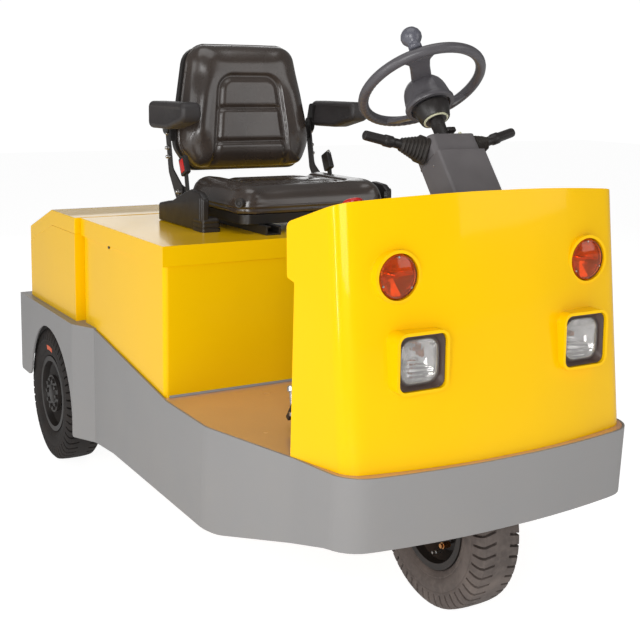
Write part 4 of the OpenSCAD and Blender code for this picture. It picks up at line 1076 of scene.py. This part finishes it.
def cushionBlank(form):
    # rounded block with a fuller front roll and a low nose edge
    low, high = form["low"], form["high"]
    rows = ((0.010, low, 0), (0.0, low + 0.012, 0), (0.0, low + 0.034, 0.0), (0.006, high - 0.012, 0.004),
            (0.018, high - 0.003, 0.012), (0.040, high, 0.026))
    rings = []
    for draw, height, nose in rows:
        side, front, rear = form["half"] - draw, form["front"] + draw + nose, form["rear"] - draw * 0.7
        outline = rounded(symmetric(((side, front, 0.050), (side - 0.004, rear, 0.030))), 8)
        rings.append(flatRing(outline, height))
    return lofted(rings)


def sewCushion(spot, normal):
    # seams and channels of the sitting face, and the piping above the pan
    form = cushionForm
    side = abs(spot.x)
    upward = softly(normal.z, 0.35, 0.75)
    corner = 0.055
    inX, inY = form["recess"] - corner - side, spot.y - form["recessFront"] - corner
    inside = corner - math.hypot(min(0, inX), min(0, inY)) + max(0, min(inX, inY))
    depth = -0.0075 * softly(inside, -0.004, 0.016) - 0.0050 * groove(inside - 0.001, 0.0045)
    if inside > 0:
        for channel in form["channels"]:
            depth -= 0.0085 * groove(spot.y - channel, 0.0075) * softly(inside, 0.006, 0.020)
        depth += 0.0045 * softly(inside, 0.015, 0.05) * (1 - groove(spot.y - form["channels"][0], 0.02))
    depth *= upward
    depth += 0.004 * upward * groove(side - 0.188, 0.022)
    rise = spot.z - form["low"]
    seam = -0.0030 * groove(rise - 0.014, 0.0028) + 0.0016 * groove(rise - 0.0195, 0.0030)
    return depth + seam * softly(0.6 - abs(normal.z), 0, 0.3)


padPiece(cushionBlank(cushionForm), "seat_cushion.padded", "seat", cushionForm,
         lambda spot: spot.z < cushionForm["low"] + 0.004, sewCushion, Matrix(), "seat_cushion")
print("tractor: cushion sewn")

# Backrest, drawn upright at its pivot: x across, y to the rear, z up
backFrame = Matrix.Translation((0, 0.240, 0.872)) @ turn(-6, "X")
backForm = {"voxel": 0.006, "pressure": 4.0, "stiffness": 18, "frames": 20, "cap": 0.008, "even": 26,
            "fill": 0.85, "middle": 0.245, "channels": (0.142, 0.241), "recessTop": 0.340,
            "outline": ((0.173, 0.061, 0.042), (0.2190, 0.133, 0.060), (0.2145, 0.198, 0.090),
                        (0.171, 0.4375, 0.062))}


def backBlank(form):
    # outline drawn in towards the front face, and a little hollow from side to side
    rows = ((0.045, -0.001), (0.020, 0.003), (0.007, 0.014), (0.0, 0.034), (0.001, 0.052), (0.006, 0.0605))
    middle = form["middle"]
    rings = []
    for draw, depth in rows:
        right = [(x - draw, middle + (z - middle) * (1 - draw / 0.185), max(0.01, r - draw * 0.5))
                 for x, z, r in form["outline"]]
        outline = rounded(symmetric(right), 8)
        rings.append([(x, depth, z) for x, z in outline])
    return lofted(rings)


def sewBack(spot, normal):
    # sunk middle panel with two sewn channels between full side bolsters
    form = backForm
    forward = softly(-normal.y, 0.25, 0.7)
    half = 0.098 + (form["recessTop"] - spot.z) / 0.280 * 0.032
    corner = 0.045
    inX, inZ = half - corner - abs(spot.x), form["recessTop"] - corner - spot.z
    inside = corner - math.hypot(min(0, inX), min(0, inZ)) + max(0, min(inX, inZ))
    depth = -0.0085 * softly(inside, -0.003, 0.007) + 0.0065 * softly(inside, 0.005, 0.026)
    depth -= 0.0040 * groove(inside - 0.001, 0.0035)
    if inside > 0:
        for channel in form["channels"]:
            depth -= 0.0080 * groove(spot.z - channel, 0.0070) * softly(inside, 0.004, 0.018)
    depth += 0.0075 * groove(inside + 0.042, 0.030) * softly(0.365 - spot.z, 0, 0.09)
    piping = 0.0022 * groove(spot.y - 0.050, 0.0028) - 0.0026 * groove(spot.y - 0.0445, 0.0026)
    return depth * forward + piping * softly(0.6 - abs(normal.y), 0, 0.3)


padPiece(backBlank(backForm), "backrest_pad.padded", "backrest", backForm, lambda spot: spot.y > 0.056,
         sewBack, backFrame, "backrest_pad")
print("tractor: backrest sewn")


# Seat side covers: slim upright shell with a double rib, on a ridged foot
cover = {"inner": 0.2785, "outer": 0.2985, "rib": 0.0042, "ribSpots": (-0.0515, -0.0395),
         "foot": (0.2460, 0.3000), "footLength": (-0.0620, 0.0060),
         "rows": ((-0.0600, 0.000, 0), (-0.0600, 0.088, 0.014), (-0.036, 0.104, 0.016), (0.020, 0.1085, 0.03),
                  (0.060, 0.098, 0.03), (0.150, 0.066, 0.012), (0.186, 0.061, 0.006), (0.249, 0.050, 0.010),
                  (0.249, 0.000, 0)),
         "footRows": ((0.0, 0.0), (0.0085, 0.0), (0.0100, 0.0022), (0.0120, 0.0022), (0.0135, 0.0004),
                      (0.0205, 0.0004), (0.0220, 0.0024), (0.0240, 0.0024), (0.0255, 0.0010),
                      (0.0325, 0.0014), (0.0360, 0.0050))}


def fitSideCovers(form):
    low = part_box("seat_side_covers")[0].z + 0.0003
    outline = rounded([(y, low + z, r) for y, z, r in form["rows"]])
    shell = moved(roundAll(pushed(outline, form["inner"], form["outer"]), 0.0055, 4, 60), sideView)
    rib = form["rib"]
    bars = [moved(turned([(0, 0.094), (rib * 0.6, 0.0925), (rib, 0.088), (rib, 0.030), (0, 0.030)], 24),
                  shift(form["outer"] - 0.0022, spot, low)) for spot in form["ribSpots"]]
    midX, midY = sum(form["foot"]) / 2, sum(form["footLength"]) / 2
    halfX, halfY = form["foot"][1] - midX, form["footLength"][1] - midY
    rings = []
    for height, draw in form["footRows"]:
        outline = oblong(halfX - draw, halfY - draw, 0.008, 6)
        rings.append([(x + midX, y + midY, low + height) for x, y in outline])
    foot = lofted(rings)
    bm = bothSides(gathered(shell, foot, *bars))
    finishPiece(markSharp(bm, 50), "seat_side_covers.moulded", "lid", plastic["black"],
                ["seat_side_covers"])


fitSideCovers(cover)


# Small seat hardware: ringed caps at the cushion's front corners and plated studs on the backrest's straps
seatHardware = {
    "capSpot": (-0.2285, -0.1375, 0.8760), "capFace": (-0.80, -0.60, 0), "studOut": 0.2390,
    "studSpots": ((0.064, 0.130), (0.061, 0.104), (0.0, 0.0)),
    "cap": ((0, 0.0022), (0.0048, 0.0022), (0.0056, 0.0006), (0.0072, 0.0004), (0.0082, 0.0030),
            (0.0112, 0.0034), (0.0128, 0.0016), (0.0130, -0.006), (0, -0.006)),
    "stud": ((0, 0.0105), (0.0038, 0.0100), (0.0052, 0.0080), (0.0052, 0.0030), (0.0075, 0.0030),
             (0.0075, 0.0), (0, 0.0)),
}


def fitSeatHardware(form):
    face = Vector(form["capFace"]).to_track_quat("Z", "Y").to_matrix().to_4x4()
    caps = bothSides(moved(turned(form["cap"], 40), shift(*form["capSpot"]), face))
    finishPiece(markSharp(caps), "seat_cushion.caps", "seat", plastic["black"])
    studs = [moved(turned(form["stud"], 28), backFrame, shift(form["studOut"], y, z), turn(90, "Y"))
             for y, z in form["studSpots"]]
    finishPiece(markSharp(bothSides(gathered(*studs))), "backrest_shell.studs", "backrest", metal["zinc"])


fitSeatHardware(seatHardware)


# Armrests: foam pad with a smooth side panel, on a tapered bracket with a plated bolt
armrest = {
    "half": 0.030, "x": 0.270, "round": 0.013, "pivotSpot": (0.070, 0.196), "stopSpot": (0.062, 0.172),
    "rows": ((0.070, 1.080, 0.024), (0.070, 1.132, 0.022), (0.325, 1.132, 0.020), (0.325, 1.054, 0.020),
             (0.185, 1.055, 0.09)),
    "strap": ((0.046, 0.170, 0.020), (0.090, 0.170, 0.020), (0.088, 0.205, 0.05), (0.066, 0.258, 0.010),
              (0.018, 0.258, 0.010), (0.040, 0.215, 0.05)),
    "strapSpan": (0.2405, 0.2450), "boltFoot": 0.2355,
    "pin": ((0, 0.0175), (0.007, 0.0175), (0.007, 0.0), (0, 0.0)),
    "pivot": ((0, 0.0185), (0.0045, 0.0180), (0.0062, 0.0150), (0.0062, 0.0125), (0.0110, 0.0125),
              (0.0110, 0.0105), (0, 0.0105)),
    "stop": ((0, 0.0120), (0.0040, 0.0115), (0.0055, 0.009), (0.0055, 0.004), (0, 0.004)),
}


def armPad(form):
    bm = pushed(rounded(form["rows"], 8), -form["half"], form["half"])
    bm = moved(roundAll(bm, form["round"], 6, 60), shift(form["x"], 0, 0), sideView)
    panel = [f for f in bm.faces if abs(f.normal.x) > 0.995 and f.calc_area() > 0.002]
    bmesh.ops.inset_region(bm, faces=panel, thickness=0.0012, depth=-0.0010, use_even_offset=True)
    return bm


def armTurned(form, part, steps, spot):
    # turned part whose axis runs across, on the bracket's inner face
    return moved(turned(form[part], steps), backFrame, shift(form["boltFoot"], *form[spot]), turn(90, "Y"))


def armBracket(form):
    # flat strap from the backrest's side up to the pad, leaning to the rear, with its pivot pin
    strap = roundAll(pushed(rounded(form["strap"]), *form["strapSpan"]), 0.0008, 2)
    return gathered(moved(strap, backFrame, sideView), armTurned(form, "pin", 32, "pivotSpot"))


def armBolts(form):
    return gathered(armTurned(form, "pivot", 32, "pivotSpot"), armTurned(form, "stop", 24, "stopSpot"))


def fitArmrests(form):
    for node, flip in (("armrest_left", False), ("armrest_right", True)):
        rows = (("pad", armPad(form), plastic["armSide"], "arm_foam", [node]),
                ("bracket", armBracket(form), paint["seatSteel"], "black_paint", ()),
                ("bolts", armBolts(form), metal["zinc"], "bright_steel", ()))
        for part, bm, finish, slot, replaced in rows:
            markSharp(mirrored(bm) if flip else bm, 40)
            finishPiece(bm, node + "." + part, node, finish, replaced)


fitArmrests(armrest)


# Belt buckles: webbing stalk, moulded body, red button
buckle = {"lean": -12, "nod": -14, "stalk": 0.104, "y": 0.172, "inset": 0.011,
          "body": ((0.020, 0.0, 0.006), (0.0185, 0.054, 0.006)),
          "button": ((0.0125, 0.008, 0.003), (0.0125, 0.046, 0.003)),
          "tongue": (0.0125, 0.005, 4), "tongueSpot": (0.0040, -0.004, 0.052)}


def fitBuckles(form):
    low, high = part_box("belt_buckles")
    place = shift(high.x - form["inset"], form["y"], low.z) @ turn(form["lean"], "X")
    head = place @ shift(0, 0, form["stalk"]) @ turn(form["nod"], "X")
    stalk = moved(roundAll(pushed(squircle(0.0100, 0.002), 0, form["stalk"] + 0.004), 0.0008, 2), place,
                  shift(0.0025, 0, 0.001), Matrix.Diagonal((0.25, 1, 1, 1)))
    shell = roundAll(pushed(rounded(symmetric(form["body"])), -0.0055, 0.0105), 0.0025, 3, 50)
    moved(shell, head, sideView)
    for part, bm, finish, replaced in (("stalks", stalk, plastic["webbing"], ["belt_buckles"]),
                                       ("bodies", shell, plastic["black"], ())):
        markSharp(bothSides(bm), 50)
        finishPiece(bm, "belt_buckles." + part, "seat", finish, replaced)
    button = roundAll(pushed(rounded(symmetric(form["button"])), 0.008, 0.0122), 0.0014, 2)
    finishPiece(markSharp(mirrored(moved(button, head, sideView)), 50), "belt_buckles.button", "seat",
                plastic["red"])
    loop = flatLoop(squircle(*form["tongue"]), 0.76, 0.0022)
    moved(loop, head, shift(*form["tongueSpot"]), turn(90, "Y"), Matrix.Diagonal((0.55, 1.25, 1, 1)))
    finishPiece(markSharp(loop, 50), "belt_buckles.tongue", "seat", metal["zinc"])


fitBuckles(buckle)
print("tractor: seat dressed")


# Foot strip: thin wedge where the battery box meets the deck
footStrip = {"reach": 0.0060, "gap": 0.0004, "high": 0.0056, "inset": 0.012, "round": 0.0007}


def fitFootStrip(form):
    low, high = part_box("battery_box")
    gap = form["gap"]
    section = [(low.y - form["reach"], low.z + gap), (low.y - gap, low.z + gap),
               (low.y - gap, low.z + form["high"]), (low.y - 0.0026, low.z + form["high"] - 0.0006)]
    strip = roundAll(pushed(section, low.x + form["inset"], high.x - form["inset"]), form["round"], 2)
    finishPiece(markSharp(moved(strip, sideView)), "battery_box.footStrip", "chassis", paint["grey"])


fitFootStrip(footStrip)


# Catch: small diamond under the lid's edge on the right side
catch = {"spot": 0.155, "below": 0.004, "half": 0.009, "rise": 0.0055, "thick": 0.0022}


def fitCatch(form):
    half, rise = form["half"], form["rise"]
    outline = rounded([(-half, 0.0, 0.002), (0.0, -rise, 0.002), (half, 0.0, 0.002), (0.0, rise, 0.002)])
    bm = roundAll(pushed(outline, 0, form["thick"]), 0.0006, 2)
    place = Vector((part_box("battery_box")[0].x, form["spot"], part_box("battery_lid")[0].z - form["below"]))
    moved(bm, Matrix.Translation(place), turn(-90, "Y"), turn(90, "Z"))
    finishPiece(markSharp(bm), "battery_box.catch", "chassis", plastic["black"])


fitCatch(catch)


# Paint mark on the right rear tyre's wall: start and sweep in degrees, section as radius and depth
tyreMark = {"start": 82, "sweep": 20, "steps": 12,
            "section": ((0.140, 0.0022), (0.140, 0.0012), (0.1545, -0.0004), (0.1545, 0.0008))}


def fitTyreMark(form):
    low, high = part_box("rear_tyre_right")
    centre = (low + high) / 2
    rings = []
    for step in range(form["steps"] + 1):
        angle = math.radians(form["start"] + form["sweep"] * step / form["steps"])
        along, up = math.cos(angle), math.sin(angle)
        rings.append([(low.x + depth, centre.y + radius * along, centre.z + radius * up)
                      for radius, depth in form["section"]])
    finishPiece(markSharp(lofted(rings), 60), "rear_tyre_right.mark", "rear_wheel_right", paint["markRed"])


fitTyreMark(tyreMark)


# Console: dark seam round its shoulder, and a screw on each side below it
consoleSeam = {"half": 0.064, "front": -0.034, "back": 0.050, "corners": (0.014, 0.020), "low": -0.2031,
               "high": -0.2017, "proud": 0.0007, "sunk": -0.003, "screw": (-0.065, -0.0107, -0.2234)}


def consoleRing(form, grow, height):
    half, front, back = form["half"] + grow, form["front"] - grow, form["back"] + grow
    near, far = form["corners"]
    return flatRing(rounded(symmetric(((half, front, near), (half, back, far)))), height)


def fitConsoleSeam(form):
    low, high, proud, sunk = form["low"], form["high"], form["proud"], form["sunk"]
    rows = ((proud, low), (proud, high), (sunk, high), (sunk, low))
    band = lofted([consoleRing(form, grow, height) for grow, height in rows], closed=True)
    finishPiece(markSharp(moved(band, columnFrame)), "console.seam", "chassis", plastic["black"])
    screw = turned([(0, 0.0013), (0.0013, 0.0012), (0.0022, 0.0004), (0.0022, -0.0010), (0, -0.0010)], 20)
    moved(screw, columnFrame, shift(*form["screw"]), turn(-90, "Y"))
    finishPiece(markSharp(bothSides(screw)), "console.screws", "chassis", metal["zinc"])


fitConsoleSeam(consoleSeam)


# Accelerator pedal's plated rod
pedalRod = {"inset": 0.006, "spot": -0.610, "rise": 0.020, "lean": -8}


def fitPedalRod(form):
    section = [(0, 0.064), (0.0075, 0.063), (0.0095, 0.058), (0.0095, 0.050), (0.0050, 0.048),
               (0.0050, 0.004), (0.0085, 0.002), (0.0085, -0.006), (0, -0.006)]
    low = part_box("accelerator_pedal")[0]
    place = shift(low.x + form["inset"], form["spot"], low.z + form["rise"])
    rod = moved(turned(section, 28), place, turn(form["lean"], "X"))
    finishPiece(markSharp(rod), "accelerator_pedal.rod", "chassis", metal["zinc"])


fitPedalRod(pedalRod)
print("tractor: small marks fitted")

# Every node that no piece stands for keeps its own mesh and gets its finish
nodeFinishes = {
    "headlamps": plastic["lampFrame"], "headlamp_lenses": lens["clear"], "turn_lamps": lens["amber"],
    "stop_button": plastic["red"], "lever_boots": rubber["boot"], "control_levers": plastic["black"],
    "seat_cushion": vinyl, "backrest_pad": vinyl, "armrest_right": plastic["armSide"],
    "armrest_left": plastic["armSide"], "belt_buckles": plastic["black"],
    "seat_side_covers": plastic["black"], "steering_wheel": plastic["wheel"],
    "spinner_knob": plastic["wheel"], "front_tyre": rubber["dustAndPaintedLight"], "rear_tyre_right": rubber["tyre"],
    "rear_tyre_left": rubber["tyre"],
}
for node, (finish, *rest) in panelRows.items():
    nodeFinishes[node] = finish
for node, finish in nodeFinishes.items():
    nodes[node].data.materials.clear()
    nodes[node].data.materials.append(finish)


# Floor: pale and glowing, less so where gloss paint mirrors it
floorForm = {"half": 15, "glow": 0.90, "mirroredGlow": 0.32,
             "tones": ((0.34, 0.34, 0.34), (0.37, 0.37, 0.37))}


def layFloor(form):
    bm = bmesh.new()
    bmesh.ops.create_grid(bm, x_segments=1, y_segments=1, size=form["half"])
    mesh = bpy.data.meshes.new("floor")
    bm.to_mesh(mesh)
    bm.free()
    finish, tree, shader, coord = newFinish("paleFloor", 0.75, Emission_Color=(1, 1, 1, 1))
    mottled = blendColours(tree, noiseOf(tree, coord, 3, 3), *form["tones"])
    tree.links.new(mottled, shader.inputs["Base Color"])
    glossy = addNode(tree, "ShaderNodeLightPath").outputs["Is Glossy Ray"]
    glow = maths(tree, "MULTIPLY_ADD", glossy, form["mirroredGlow"] - form["glow"], form["glow"])
    tree.links.new(glow, shader.inputs["Emission Strength"])
    mesh.materials.append(finish)
    floor = bpy.data.objects.new("floor", mesh)
    scene.collection.objects.link(floor)


layFloor(floorForm)
